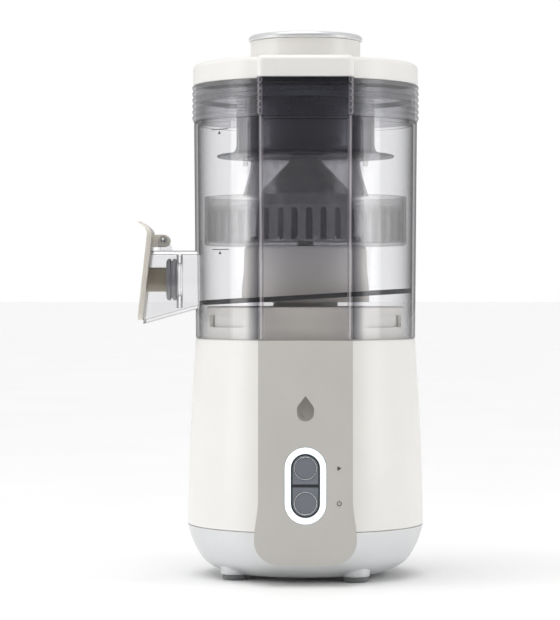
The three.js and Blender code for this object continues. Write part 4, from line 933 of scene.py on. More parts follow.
    def build_feet(self) -> None:
        """Four rubber feet with a rounded, dished sole."""
        for i in range(1, 5):
            cad = Box.of(f"foot_{i}")
            radius, top = cad.radius, cad.high.z
            profile = [(0, 0.6), (radius - 3.6, 0.6), (radius - 3.0, 0), (radius - 1.4, 0),
                       *arc(radius - 1.4, 1.4, 1.4, -60, 0, 4), (radius, top), (0, top)]
            body = Bench.turned(profile, SMALL)
            Bench.moved(body, (cad.centre.x, cad.centre.y, 0))
            place(body, f"foot_{i}_fine", "base", GREY_RUBBER, (f"foot_{i}",), 50)

    def build_gland(self) -> None:
        """The gland at the back, with a rounded flange."""
        cad = Box.of("cord_gland")
        outer = self.shell.radius + GAP
        profile = [(3.6, -20), (6.5, -20), (6.5, 0), (9, 0), (9, 1.4), (8.5, 2.2), (7.6, 2.6),
                   (4.6, 2.6), (3.9, 2.3), (3.6, 1.6)]
        body = Bench.disc(profile, Axis.X)
        Bench.moved(body, (0, outer, cad.centre.z))
        place(body, "cord_gland_fine", "base", BLACK_RUBBER, ("cord_gland",))

    def build_screws(self) -> None:
        """Four cross-head screws under the bottom cover, sunk between the feet."""
        foot = self.cover_foot
        head = Bench.turned([(0, foot - 0.9), (2.2, foot - 0.7), (3.0, foot - 0.2), (3.0, foot + 0.8),
                             (0, foot + 0.8)], SMALL)
        slot_a = Bench.block((-1.9, -0.35, foot - 2), (1.9, 0.35, foot + 0.1))
        slot_b = Bench.block((-0.35, -1.9, foot - 2), (0.35, 1.9, foot + 0.1))
        Bench.combine(head, How.CUT, slot_a, slot_b)
        for i, angle in enumerate(self.screw_angles, 1):
            turn = math.radians(angle)
            shift = (self.screw_ring * math.cos(turn), self.screw_ring * math.sin(turn), 0)
            twin = Bench.copied(head, shift)
            place(twin, f"cover_screw_{i}", "base", STEEL)
        bpy.data.objects.remove(head)

    def build(self) -> None:
        """Builds the base's pieces."""
        self.build_shell()
        self.build_liner()
        self.build_cover()
        self.build_feet()
        self.build_gland()
        self.build_screws()


@dataclass
class FrontPanel:
    """The panel with its light ring, buttons, emblem and symbols."""

    wall: float = 3.0
    half_width: float = 33.6
    flare: float = 2.9
    lean: float = 4.0
    front: float = 90.0
    tuck: float = 10.0
    bend: float = 45.0
    foot: float = 15.0
    corner: float = 18.0
    ring_width: float = 29.6
    ring_length: float = 54.4
    band: float = 4.4
    tilt: float = 1.76
    reach: Point = (-112.0, -41.0)
    badge_height: float = 127.0
    symbol_place: float = 24.0
    top: float = field(default_factory=lambda: Box.of("front_panel").high.z)
    ring_z: float = field(default_factory=lambda: Box.of("light_ring").centre.z)

    @property
    def button_rise(self) -> float:
        """How far a button's middle is from the ring's."""
        return (self.ring_length - self.ring_width) / 2

    def face(self, z: float) -> float:
        """The face's y at a height over its bend."""
        return -self.front - (self.top - z) * self.lean / (self.top - self.bend)

    def outline(self, inset: float) -> list[Point]:
        """The panel from the front, moved in by inset."""
        half, low = self.half_width - inset, self.half_width - inset + self.flare
        corner, foot = self.corner - inset, self.foot + inset
        flank = [(half + self.flare * math.cos(math.pi / 2 * i / 8) ** 2, self.foot + self.corner
                  + 30 * i / 8) for i in range(1, 9)]
        left = [(-x, z) for x, z in flank[::-1]]
        return [
            *arc(low - corner, foot + corner, corner, -90, 0, 12), *flank,
            (half, self.top - inset), (-half, self.top - inset), *left,
            *arc(-low + corner, foot + corner, corner, 180, 270, 12),
        ]

    def side(self, inset: float) -> list[Point]:
        """The panel from the side, moved back by inset."""
        low = -self.front - self.lean
        middle = (self.bend + self.foot) / 2
        curve = []
        for i in range(13):
            t = i / 12
            curve.append((low + self.tuck * t * t, self.bend * (1 - t) ** 2 + 2 * middle * t * (1 - t)
                          + self.foot * t * t))
        face = [(-self.front, self.top), *curve]
        back = self.reach[1]
        return [*[(y + inset, z) for y, z in face], (back, self.foot), (back, self.top)]

    def solid(self, inset: float) -> Piece:
        """The panel as a solid block, moved in by inset."""
        front = Bench.prism(self.outline(inset), Axis.Y, *self.reach)
        return Bench.combine(front, How.TRIM, Bench.prism(self.side(inset), Axis.X, -40, 40))

    def build_panel(self, base: Base) -> None:
        """The hollow panel, fitted to the base's round side.

        Args:
            base: the base whose side it stands on.
        """
        shell = base.side(-GAP, base.shell.low.z, base.shoulder + 2)
        core = Bench.turned([(0, base.cover_foot), *base.cover_line(GAP)[:-1], *shell, (0, shell[-1][1])],
                            WIDE)
        body = Bench.bevel(self.solid(0), 1.1, 3, 50)
        hole = Bench.prism([(x, z + self.ring_z) for x, z in
                            stadium(self.ring_width + 2 * GAP, self.ring_length + 2 * GAP)], Axis.Y,
                           *self.reach)
        Bench.combine(body, How.CUT, core, self.solid(self.wall), hole)
        place(body, "front_panel_fine", "base", GREIGE, ("front_panel",), 30)

    def tilted(self, obj: Piece) -> Piece:
        """Moves a piece drawn round the ring's centre onto the leaning face."""
        Bench.moved(obj, turn=-self.tilt, axis=Axis.X)
        return Bench.moved(obj, (0, self.face(self.ring_z), self.ring_z))

    def button_outline(self, inset: float, side: int) -> list[Point]:
        """A button's face, the upper one for side 1 and the lower one for side -1."""
        radius, middle = self.ring_width / 2 - self.band - GAP - inset, self.button_rise
        low = 0.75 + inset - 0.7
        points = [*arc(0, middle, radius, 0, 180, 24), (-radius, low), (radius, low)]
        return [(x, z * side) for x, z in points]

    def build_controls(self) -> None:
        """Light ring, dark frame, two buttons and the bright circles on them."""
        ring = Bench.prism(stadium(self.ring_width, self.ring_length), Axis.Y, -0.4, 3)
        Bench.bevel(ring, 0.35, 3)
        inner = stadium(self.ring_width - 2 * self.band, self.ring_length - 2 * self.band)
        Bench.combine(ring, How.CUT, Bench.prism(inner, Axis.Y, -2, 6))
        place(self.tilted(ring), "light_ring_fine", "base", RING, ("light_ring",))
        bed = stadium(*(side - 2 * self.band - 2 * GAP for side in (self.ring_width, self.ring_length)))
        seat = Bench.prism(bed, Axis.Y, 0, 6)
        for side in (1, -1):
            Bench.combine(seat, How.CUT, Bench.prism(self.button_outline(0.7, side), Axis.Y, -2, 9))
        place(self.tilted(seat), "button_frame_fine", "base", DARK, ("button_frame",))
        middle = self.button_rise
        for side, key in ((1, "start_button"), (-1, "power_button")):
            cap = Bench.bevel(Bench.prism(self.button_outline(1.0, side), Axis.Y, -0.8, 7), 0.55, 3)
            groove = [(7.3, -3), (8.6, -3), (8.6, 0.05), (7.3, 0.05)]
            cutter = Bench.disc(groove, Axis.X)
            dish = Bench.disc([(0, -0.45), (4, -0.5), (6.6, -0.75), (6.9, -1.4), (0, -1.4)], Axis.X)
            Bench.combine(cap, How.CUT, Bench.moved(cutter, (0, 0, side * middle)),
                          Bench.moved(dish, (0, 0, side * middle)))
            stem = Bench.rod(2.5, Axis.Y, (0, 10, side * middle), 8)
            Bench.combine(cap, How.JOIN, stem)
            place(self.tilted(cap), f"{key}_fine", key, BUTTON, (key,))
            band = [(7.55, -0.65), (7.7, -0.8), (8.2, -0.8), (8.35, -0.65), (8.35, -0.05), (7.55, -0.05)]
            trim = Bench.disc(band, Axis.X)
            Bench.moved(trim, (0, 0, side * middle))
            place(self.tilted(trim), f"{key}_trim_fine", key, CHROME, (f"{key}_trim",))

    def badge(self, outline: list[Point], x: float, z: float, name: str, finish: Finish) -> None:
        """Sets a flat raised shape on the face.

        Args:
            outline: its outline round its own middle.
            x: its place across.
            z: its height.
            name: its name.
            finish: its finish.
        """
        body = Bench.bevel(Bench.prism(outline, Axis.Y, -0.25, 0.5), 0.12, 2)
        Bench.moved(body, turn=-self.tilt, axis=Axis.X)
        Bench.moved(body, (x, self.face(z), z))
        place(body, name, "base", finish)

    def build_badges(self) -> None:
        """A droplet emblem, and play and power symbols beside the buttons."""
        drop = arc(0, -2.5, 6.2, 205, 335, 22)
        right = eased([drop[-1], (5.9, 0.6), (2.6, 5.6), (0, 9.2)], 6)[1:]
        left = eased([(0, 9.2), (-2.6, 5.6), (-5.9, 0.6), drop[0]], 6)[1:-1]
        self.badge([*drop, *right, *left], 0, self.badge_height, "emblem_droplet", EMBLEM)
        shine = [*arc(0, -2.5, 4.1, 190, 262, 10), *arc(0, -2.5, 3.2, 262, 190, 10)]
        self.badge(shine, 0, self.badge_height, "emblem_shine", GREIGE)
        middle = self.button_rise
        across, high, low = self.symbol_place, self.ring_z + middle, self.ring_z - middle
        self.badge([(-1.3, -1.6), (1.5, 0), (-1.3, 1.6)], across, high, "symbol_play", MARK)
        power = [*arc(0, 0, 1.75, 125, 415, 22), *arc(0, 0, 1.3, 415, 125, 22)]
        self.badge(power, across, low, "symbol_power_ring", MARK)
        bar = [(-0.22, 0.4), (0.22, 0.4), (0.22, 2.1), (-0.22, 2.1)]
        self.badge(bar, across, low, "symbol_power_bar", MARK)

    def build(self, base: Base) -> None:
        """Builds the panel's pieces on the base."""
        self.build_panel(base)
        self.build_controls()
        self.build_badges()


# ---- Bowl ----------------------------------------------------------------------------------


@dataclass(frozen=True)
class Mouth:
    """The spout's slanted mouth and the hinge over it, as x and z."""

    top: Point = (-113.8, 240.3)
    foot: Point = (-119.8, 186.3)
    hinge: Point = (-105.3, 247.8)
    pin_hole: float = 1.8

    def hung(self, obj: Piece) -> Piece:
        """Moves a piece drawn round the origin to the hinge."""
        return Bench.moved(obj, (self.hinge[0], 0, self.hinge[1]))

    def bore(self, length: float) -> Piece:
        """A rod for the pin's hole."""
        return Bench.rod(self.pin_hole, Axis.Y, (self.hinge[0], 0, self.hinge[1]), length)


@dataclass
class Bowl:
    """Tinted bowl with its spout, the sloping floor with its column, and the floor's seal."""

    shape: BodyOutline = field(default_factory=BodyOutline)
    wall: float = 2.6
    draft: float = 1.3
    deck: float = 2.2
    neck_radius: float = 79.2
    neck_bore: float = 77.0
    slope: float = 0.058
    cad: Box = field(default_factory=lambda: Box.of("juice_bowl"))
    column: Box = field(default_factory=lambda: Box.of("juice_floor"))
    lid: Box = field(default_factory=lambda: Box.of("lid_skirt"))
    mouth: Mouth = field(default_factory=Mouth)
    spout_ends: Point = (-72.4, -126.0)
    spout_half: float = 19.0
    spout_round: float = 5.0
    spout_foot: float = 196.6
    spout_slope: float = 10.3 / 37
    plug_bore: float = 12.5
    plug_middle: Place = (-93.6, 0.0, 219.0)
    seat: tuple[Place, Place] = ((-95.15, -17.6, 198.0), (-92.15, 17.6, 239.0))
    lug: tuple[Place, Place] = ((77.9, -8.0, 342.4), (80.1, 8.0, 345.4))
    lug_angles: tuple[float, ...] = (20.0, 110.0, 200.0, 290.0)
    leg_radius: float = 3.4
    leg_feet: tuple[Point, Point] = ((-108.7, 239.0), (-98.5, 239.0))
    leg_span: Point = (9.5, 12.5)
    seal_thickness: float = 3.4
    floor_thickness: float = 2.5
    spring_radius: float = 2.6
    wire: float = 0.42
    pitch: float = 0.98
    coils: int = 8
    floor_level: float = 207.5
    mark_heights: Point = (327.5, 240.6)

    @property
    def rim(self) -> float:
        """The height of the bowl's shelf under the lid."""
        return self.lid.low.z - 0.3

    @property
    def foot(self) -> float:
        """The bowl's foot."""
        return self.cad.low.z

    def scale(self, z: float) -> float:
        """How much the draft shrinks the outline at a height."""
        return 1 - self.draft / self.shape.radius * (self.rim - z) / (self.rim - self.foot + 0.3)

    def prism(self, inset: float, low: float, high: float) -> Piece:
        """A body of the bowl's outline between two heights."""
        return Bench.stack(self.shape.points(inset), [(low, self.scale(low)), (high, self.scale(high))])

    def spout(self, inset: float, rounding: float) -> Piece:
        """The spout as a solid block, moved in by inset and with rounded edges."""
        near, far = self.spout_ends
        foot = [self.spout_foot + inset + (x + self.shape.radius) * self.spout_slope for x in (near, far)]
        top, half = self.mouth.top[1] - inset, self.spout_half - inset
        outline = [(near, foot[0]), (near, top), (far, top), (far, foot[1])]
        body = Bench.prism(outline, Axis.Y, -half, half)
        return Bench.bevel(body, rounding, 5)

    def past_mouth(self) -> Piece:
        """A block over all that lies past the spout's slanted mouth."""
        top, foot = Vector(self.mouth.top), Vector(self.mouth.foot)
        along = (top - foot).normalized()
        high, low = top + along * 30, foot - along * 30
        outline = [tuple(high), tuple(low), (low.x - 50, low.y), (high.x - 50, high.y)]
        return Bench.prism(outline, Axis.Y, -40, 40)

    def build_bowl(self) -> None:
        """The bowl, its neck with four lugs, the spout, its seat and the hinge's legs."""
        rim, foot = self.rim, self.foot
        body = Bench.stack(self.shape.points(), [
            (foot, self.scale(foot) * 0.9955), (foot + 0.35, self.scale(foot)),
            (rim - 0.7, self.scale(rim)), (rim - 0.2, 0.9975), (rim, 0.9935)])
        spout = Bench.combine(self.spout(0, self.spout_round), How.CUT, self.past_mouth())
        Bench.combine(body, How.JOIN, spout)
        Bench.combine(body, How.CUT, self.prism(self.wall, foot - 3, rim - self.deck),
                      self.spout(self.wall, self.spout_round - self.wall))
        seat = Bench.block(*self.seat)
        Bench.combine(seat, How.CUT, Bench.rod(self.plug_bore, Axis.X, self.plug_middle, 20, ROUND))
        neck = Bench.turned([(self.neck_bore, rim - self.deck), (self.neck_radius, rim - self.deck),
                             (self.neck_radius, self.cad.high.z - 0.4),
                             (self.neck_radius - 0.4, self.cad.high.z),
                             (self.neck_bore + 0.4, self.cad.high.z),
                             (self.neck_bore, self.cad.high.z - 0.4)], WIDE)
        lug = Bench.block(*self.lug)
        legs = []
        for side in (1, -1):
            profile = [*arc(*self.mouth.hinge, self.leg_radius, 0, 180, 14), *self.leg_feet]
            legs.append(Bench.prism(profile, Axis.Y, side * self.leg_span[0], side * self.leg_span[1]))
        Bench.combine(body, How.JOIN, neck, Bench.around(lug, list(self.lug_angles)), seat, *legs)
        Bench.combine(body, How.CUT, Bench.rod(self.neck_bore, Axis.Z, (0, 0, rim), 14, WIDE),
                      self.mouth.bore(50))
        place(body, "juice_bowl_fine", "bowl", SMOKED, ("juice_bowl",))

    def slab(self, middle: float, thickness: float) -> Piece:
        """A slab parallel to the sloping floor, its middle at a height on the axis."""
        body = Bench.block((-170, -170, -thickness / 2), (170, 170, thickness / 2))
        Bench.moved(body, turn=-math.degrees(math.atan(self.slope)), axis=Axis.Y)
        return Bench.moved(body, (0, 0, middle))

    def build_floor(self) -> None:
        """The floor plate, the hollow column in its middle, and the bush's boss."""
        level, high = self.floor_level, self.column.high.z
        middle = level - self.floor_thickness / 2
        plate = Bench.combine(self.prism(self.wall + 3.6, 190, high), How.TRIM,
                              self.slab(middle, self.floor_thickness))
        column = Bench.turned([
            (0, level - 5.2), (47.5, level - 5.2), (47.2, level + 6), (46.1, level + 16),
            (45.5, high - 3), (45.2, high - 1.4), (44.4, high - 0.4), (43.2, high), (0, high)], WIDE)
        cavity = Bench.turned([(0, 180), (44.6, 180), (42.3, high - 3), (0, high - 3)], ROUND)
        boss = Bench.rod(13.2, Axis.Z, (0, 0, high - 4.2), 6.4, ROUND)
        Bench.combine(plate, How.JOIN, column)
        Bench.combine(plate, How.CUT, cavity)
        Bench.combine(plate, How.JOIN, boss)
        Bench.combine(plate, How.CUT, Bench.rod(10.0, Axis.Z, (0, 0, high), 80, ROUND))
        place(plate, "juice_floor_fine", "bowl", LIGHT_GREY, ("juice_floor",))
        outer = self.prism(self.wall + GAP, 190, 240)
        Bench.combine(outer, How.CUT, self.prism(self.wall + 3.3, 189, 241))
        Bench.combine(outer, How.TRIM, self.slab(middle, self.seal_thickness))
        place(outer, "floor_seal_fine", "bowl", BLACK_RUBBER, ("floor_seal",))

    def build_marks(self) -> None:
        """Two level marks: a line and a small triangle over it, sunk in the bowl's wall."""
        for i, z in enumerate(self.mark_heights, 1):
            radius = self.shape.radius * self.scale(z)
            band = [(radius - 0.35, z - 0.3), (radius + 0.04, z - 0.3), (radius + 0.04, z + 0.3),
                    (radius - 0.35, z + 0.3)]
            line = Bench.moved(Bench.turned(band, 16, 13.0), turn=227.5)
            place(line, f"level_line_{i}", "bowl", MARK)
            arrow = Bench.prism([(-1.5, z - 3.4), (1.5, z - 3.4), (0, z - 1.2)], Axis.X,
                                radius - 0.35, radius + 0.02)
            place(Bench.moved(arrow, turn=221.0), f"level_arrow_{i}", "bowl", MARK)

    def build_spring(self) -> None:
        """The pin and the coiled return spring on it."""
        pin = Bench.turned([(0, -14), (1.1, -14), (1.5, -13.6), (1.5, 13.6), (1.1, 14), (0, 14)], SMALL)
        Bench.moved(pin, turn=90, axis=Axis.X)
        place(self.mouth.hung(pin), "hinge_pin_fine", "bowl", CHROME, ("hinge_pin",))
        Bench.clear()
        bpy.ops.mesh.primitive_circle_add(vertices=12, radius=self.wire * MM, fill_type="NOTHING",
                                          location=(self.spring_radius * MM, 0, -4 * MM),
                                          rotation=(math.pi / 2, 0, 0))
        coil = Bench.settle(bpy.context.object)
        Bench.modify(coil, "SCREW", axis="Z", angle=2 * math.pi, screw_offset=self.pitch * MM,
                     iterations=self.coils, steps=24, use_merge_vertices=True)
        bpy.ops.object.mode_set(mode="EDIT")
        bpy.ops.mesh.select_all(action="SELECT")
        bpy.ops.mesh.remove_doubles(threshold=MERGE)
        bpy.ops.mesh.select_all(action="DESELECT")
        bpy.ops.mesh.select_mode(type="EDGE")
        bpy.ops.mesh.select_non_manifold()
        bpy.ops.mesh.edge_face_add()
        bpy.ops.object.mode_set(mode="OBJECT")
        Bench.moved(coil, turn=90, axis=Axis.X)
        place(self.mouth.hung(coil), "flap_spring_coil", "bowl", STEEL, ("flap_spring",))

    def build(self) -> None:
        """Builds the bowl's pieces."""
        self.build_bowl()
        self.build_floor()
        self.build_marks()
        self.build_spring()


@dataclass
class SpoutFlap:
    """The flap on the spout's mouth with its thumb tab, and the plug that it presses home."""

    half_width: float = 20.5
    thickness: float = 3.7
    stand_off: float = 0.7
    bend: float = 252.3
    lean: float = 9.0
    foot_round: float = 6.0
    tab_round: float = 12.0
    clip_radius: float = 4.5
    clips: tuple[Point, ...] = ((4.8, 9.2), (-9.2, -4.8))
    clip_ends: tuple[Point, ...] = ((-115.4, 252.3), (-116.2, 243.3))
    stem_radius: float = 9.0
    mouth: Mouth = field(default_factory=Mouth)
    cad: Box = field(default_factory=lambda: Box.of("spout_flap"))

    def side(self) -> list[Point]:
        """The flap from the side: along the mouth, then leaning out in the tab."""
        top, foot = Vector(self.mouth.top), Vector(self.mouth.foot)
        along = (top - foot).normalized()
        out = Vector((-along.y, along.x))
        inside = foot + out * self.stand_off
        low = inside + along * ((self.cad.low.z - inside.y) / along.y)
        bend = inside + along * ((self.bend - inside.y) / along.y)
        tip = bend + Vector((-self.lean, self.cad.high.z - bend.y))
        knee = Vector((bend.x, (bend.y + tip.y) / 2))
        face = [bend.lerp(knee, i / 10).lerp(knee.lerp(tip, i / 10), i / 10) for i in range(11)]
        back = [point + out * self.thickness for point in face][::-1]
        return [tuple(p) for p in (low, *face, *back, low + out * self.thickness)]

    def build(self) -> None:
        """Builds the flap with its two clips, the plug's disc and its stem."""
        low, high, half = self.cad.low.z, self.cad.high.z, self.half_width
        foot, tab = self.foot_round, self.tab_round
        face = [*arc(half - foot, low + foot, foot, -90, 0, 8),
                *arc(half - tab, high - tab, tab, 0, 90, 12),
                *arc(-half + tab, high - tab, tab, 90, 180, 12),
                *arc(-half + foot, low + foot, foot, 180, 270, 8)]
        plate = Bench.prism(self.side(), Axis.Y, -30, 30)
        Bench.combine(plate, How.TRIM, Bench.prism(face, Axis.X, -150, -80))
        Bench.bevel(plate, 1.0, 3, 50)
        for start, end in self.clips:
            clip = [*arc(*self.mouth.hinge, self.clip_radius, -90, 90, 16), *self.clip_ends]
            Bench.combine(plate, How.JOIN, Bench.bevel(Bench.prism(clip, Axis.Y, start, end), 0.4))
        Bench.combine(plate, How.CUT, self.mouth.bore(30))
        place(plate, "spout_flap_fine", "spout_flap", CREAM, ("spout_flap",), 40)
        disc = Box.of("plug_seal")
        back, front = disc.low.x, disc.high.x
        radius = (disc.high.z - disc.low.z) / 2
        profile = [(0, back), (radius - 1.2, back), (radius, back + 1.2), (radius, back + 2.8),
                   (radius - 1.6, back + 3.4), (radius - 1.6, back + 4.2), (radius, back + 4.8),
                   (radius, front - 0.8), (radius - 0.8, front), (0, front)]
        seal = Bench.disc(profile, Axis.Y)
        place(Bench.moved(seal, (0, 0, disc.centre.z)), "plug_seal_fine", "spout_flap", PLUG_GREY,
              ("plug_seal",))
        cad = Box.of("plug_stem")
        start, end, thick = cad.low.x, cad.high.x, self.stem_radius
        body = Bench.disc([(0, start), (thick, start), (thick, end), (0, end)], Axis.Y)
        Bench.moved(body, (0, 0, disc.centre.z))
        side = [(x + 0.3, z) for x, z in self.side()]
        Bench.combine(body, How.CUT, Bench.prism(side, Axis.Y, -41, 41),
                      Bench.prism([(x - 1.85, z) for x, z in self.side()], Axis.Y, -41, 41))
        place(body, "plug_stem_fine", "spout_flap", PLUG_BEIGE, ("plug_stem",))


# ---- Basket --------------------------------------------------------------------------------


@dataclass
class Basket:
    """The slotted basket and the dark cone that spins in it."""

    wall: float = 1.8
    floor: float = 2.5
    slots: int = 45
    slot_width: float = 4.7
    cad: Box = field(default_factory=lambda: Box.of("filter_basket"))
    cone: Box = field(default_factory=lambda: Box.of("rotor_cone"))
    profile: tuple[Point, ...] = ((37, 0), (36.5, 0.22), (33, 0.52), (22, 0.72), (13, 0.86))
    bore: float = 6.3
    crown_radius: float = 9.6
    crown_round: float = 3.6

    def build_basket(self) -> None:
        """The basket with round-topped slots and a rolled rim."""
        radius, low, high = self.cad.radius, self.cad.low.z, self.cad.high.z
        body = Bench.turned([
            (self.bore, low), (radius - 1.5, low), (radius, low + 1.5), (radius, high - 0.6),
            (radius - 0.6, high), (radius - self.wall + 0.5, high), (radius - self.wall, high - 0.5),
            (radius - self.wall, low + self.floor), (self.bore, low + self.floor)], 180)
        half, foot, top = self.slot_width / 2, low + self.floor + 0.3, high - 9.7
        outline = [(-half, foot), (half, foot), *arc(0, top - half, half, 0, 180, 8)]
        slot = Bench.prism(outline, Axis.X, radius - 5, radius + 4)
        Bench.combine(body, How.CUT, Bench.around(slot, full_turn(self.slots)))
        place(body, "filter_basket_fine", "basket", MILKY, ("filter_basket",))

    def build_cone(self) -> None:
        """The dark cone with a rounded crown and a rolled foot."""
        low, height = self.cone.low.z, self.cone.high.z - self.cone.low.z
        outside = eased([(r, low + rise * height) for r, rise in self.profile], 8)
        bend = self.crown_round
        crown = arc(self.crown_radius - bend, self.cone.high.z - bend, bend, 12, 90, 8)
        inside = [(r - 2, max(low, z - 1.4)) for r, z in outside][::-1]
        body = Bench.turned([*outside, *crown, (0, self.cone.high.z), (0, self.cone.high.z - 2),
                             (7, self.cone.high.z - 3), *inside], WIDE)
        place(body, "rotor_cone_fine", "basket", CONE, ("rotor_cone",), 45)

    def build(self) -> None:
        """Builds the basket's pieces."""
        self.build_basket()
        self.build_cone()


# ---- Lid and pusher ------------------------------------------------------------------------


@dataclass
class Lid:
    """Ribbed skirt, white cover, hopper, feed chute and the guide under it."""

    shape: BodyOutline = field(default_factory=BodyOutline)
    ribs: int = 6
    rib_depth: float = 0.7
    crest: float = -1.2
    wall: float = 2.6
    chute_radius: float = 41.0
    deck_depth: float = 3.3
    cover_over: float = 0.6
    cover_round: float = 4.0
    press_ring: Point = (77.0, 79.2)
    press_foot: float = 353.9
    hopper_radius: float = 51.3
    guide_neck: float = 40.2
    guide_flare: float = 46.7
    guide_wall: float = 1.8
    skirt: Box = field(default_factory=lambda: Box.of("lid_skirt"))
    cover: Box = field(default_factory=lambda: Box.of("lid_cover"))
    hopper: Box = field(default_factory=lambda: Box.of("hopper"))
    chute: Box = field(default_factory=lambda: Box.of("feed_chute"))
    guide: Box = field(default_factory=lambda: Box.of("feed_guide"))

    def smooth_bulge(self, body: Piece, root: float) -> None:
        """Fills the grooves between the ribs on the bulge, which is smooth all the way up.

        Args:
            body: the ribbed skirt.
            root: the scale of the outline at the foot of a groove.
        """
        Bench.pick(body)
        Bench.deselect_points()
        half, front = self.shape.half_width - self.crest, self.shape.front - self.crest
        start = math.sqrt((self.shape.radius - self.crest) ** 2 - half ** 2)
        for vertex in body.data.vertices:
            along, across = -vertex.co.y / MM, abs(vertex.co.x) / MM
            grooved = across < half * root + 0.01 and along < front * root + 0.01
            vertex.select = grooved and along > start * root + 0.5
        bpy.ops.object.mode_set(mode="EDIT")
        bpy.ops.transform.resize(value=(1 / root, 1 / root, 1), center_override=(0, 0, 0))
        bpy.ops.object.mode_set(mode="OBJECT")

    def build_skirt(self) -> None:
        """The skirt with fine ribs all round, its deck and the ring that presses the seal."""
        low, high = self.skirt.low.z, self.skirt.high.z
        crest = self.shape.points(self.crest)
        root = 1 - self.rib_depth / (self.shape.radius - self.crest)
        pitch = (high - low) / self.ribs
        levels = [(low, root)]
        for i in range(self.ribs):
            start = low + i * pitch
            levels += [(start + 0.28 * pitch, root), (start + 0.42 * pitch, 1.0),
                       (start + 0.86 * pitch, 1.0), (start + 0.995 * pitch, root)]
        body = Bench.stack(crest, levels)
        self.smooth_bulge(body, root)
        deck_top = high + GAP - self.deck_depth
        inner = self.shape.points(self.crest + self.wall)
        (near, far), press = self.press_ring, self.press_foot
        ring = Bench.turned([(near, press), (far, press), (far, deck_top - 1), (near, deck_top - 1)], WIDE)
        Bench.combine(body, How.CUT, Bench.stack(inner, [(low - 2, 1), (deck_top - 2.5, 1)]),
                      Bench.stack(inner, [(deck_top, 1), (high + 3, 1)]),
                      Bench.rod(self.chute_radius + GAP, Axis.Z, (0, 0, high), 80, ROUND))
        Bench.combine(body, How.JOIN, ring)
        place(body, "lid_skirt_fine", "lid", SKIRT, ("lid_skirt",), 25)

    def build_cover(self) -> None:
        """The white cover with a well rounded top edge."""
        low, high, bend = self.cover.low.z, self.cover.high.z, self.cover_round
        outline = self.shape.points(-self.cover_over)
        reach = self.shape.radius + self.cover_over
        edge = [(z, 1 + (r - bend) / reach) for r, z in arc(0, high - bend, bend, 0, 90, 9)]
        body = Bench.stack(outline, [(low, 1 - 0.4 / reach), (low + 0.4, 1), *edge])
        Bench.combine(body, How.CUT,
                      Bench.stack(self.shape.points(self.wall), [(low - 2, 1), (high - 2.3, 1)]),
                      Bench.rod(self.chute_radius + GAP, Axis.Z, (0, 0, high), 80, ROUND))
        place(body, "lid_cover_fine", "lid", WHITE, ("lid_cover",))

    def build_feed(self) -> None:
        """The hopper, the chute and the flared guide with its knobs."""
        low, high = self.hopper.low.z, self.hopper.high.z
        rim, wall, bore = self.hopper.radius, self.hopper_radius, self.chute_radius + GAP
        body = Bench.turned([
            (bore, low), (rim - 0.8, low), (rim, low + 0.8), (rim - 0.3, low + 1.6),
            *eased([(rim - 2, low + 2.2), (wall + 5, low + 3.1), (wall + 1.2, low + 5.2), (wall, low + 9)],
                   5),
            (wall, high), (wall - 2, high), (wall - 2, low + 3), (bore, low + 3)], WIDE)
        place(body, "hopper_fine", "lid", HOPPER, ("hopper",))
        low, high, bore = self.chute.low.z, self.chute.high.z, self.chute_radius - 2.2
        flange = self.skirt.high.z - 3
        body = Bench.turned([
            (bore + 0.6, low), (self.chute_radius - 0.6, low), (self.chute_radius, low + 0.6),
            (self.chute_radius, flange + GAP), (47, flange + GAP), (47, self.skirt.high.z),
            (self.chute_radius, self.skirt.high.z), (self.chute_radius, high - 0.5),
            (self.chute_radius - 0.5, high), (bore + 0.5, high), (bore, high - 0.5), (bore, low + 0.6)],
            WIDE)
        place(body, "feed_chute_fine", "lid", DARK, ("feed_chute",))
        low, high = self.guide.low.z, self.guide.high.z
        neck, flare = self.guide_neck, self.guide_flare
        line = eased([(flare, low), (44.6, low + 7), (41.6, low + 17), (neck, high - 2.6)], 5)
        inside = [(r - self.guide_wall, z) for r, z in line[::-1][1:-1]]
        body = Bench.turned([(flare - self.guide_wall, low), *line, (46.4, high - 1.1),
                             (47.2, high - 0.8), (47.2, high), (neck - self.guide_wall, high), *inside],
                            WIDE)
        knob = Bench.bevel(Bench.rod(1.9, Axis.Z, (44.6, 0, high - 3.4), 5.0), 0.5)
        Bench.combine(body, How.JOIN, Bench.around(knob, full_turn(6)))
        place(body, "feed_guide_fine", "lid", MILKY, ("feed_guide",))

    def build(self) -> None:
        """Builds the lid's pieces."""
        self.build_skirt()
        self.build_cover()
        self.build_feed()


@dataclass
class Pusher:
    """The pusher's white body and its silver cap."""

    body: Box = field(default_factory=lambda: Box.of("pusher_body"))
    cap: Box = field(default_factory=lambda: Box.of("pusher_cap"))
    bore: float = 35.7
    plunger: float = 38.2
    stem: float = 40.7

    def build(self) -> None:
        """Builds the two pieces."""
        low, high = self.body.low.z, self.body.high.z
        ledge = Box.of("feed_chute").high.z + GAP
        shape = Bench.turned([
            (0, low), (self.plunger - 2.2, low), (self.plunger - 0.6, low + 0.6), (self.plunger, low + 2.2),
            (self.plunger, ledge), (self.stem - 0.5, ledge), (self.stem, ledge + 0.5), (self.stem, high),
            (self.bore, high), (self.bore, low + 2.5), (0, low + 2.5)], WIDE)
        place(shape, "pusher_body_fine", "pusher", WHITE, ("pusher_body",))
        low, high, radius = high + GAP, self.cap.high.z, self.cap.radius
        shape = Bench.turned([
            (0, low), (32.9, low), (32.9, low - 5), (35.4, low - 5), (35.4, low), (radius - 0.8, low),
            (radius, low + 0.8), *arc(radius - 3.2, high - 3.2, 3.2, 10, 80, 8), (radius - 5, high - 0.06),
            (radius - 9, high - 0.35), (0, high - 0.5)], WIDE)
        place(shape, "pusher_cap_fine", "pusher", SILVER, ("pusher_cap",))


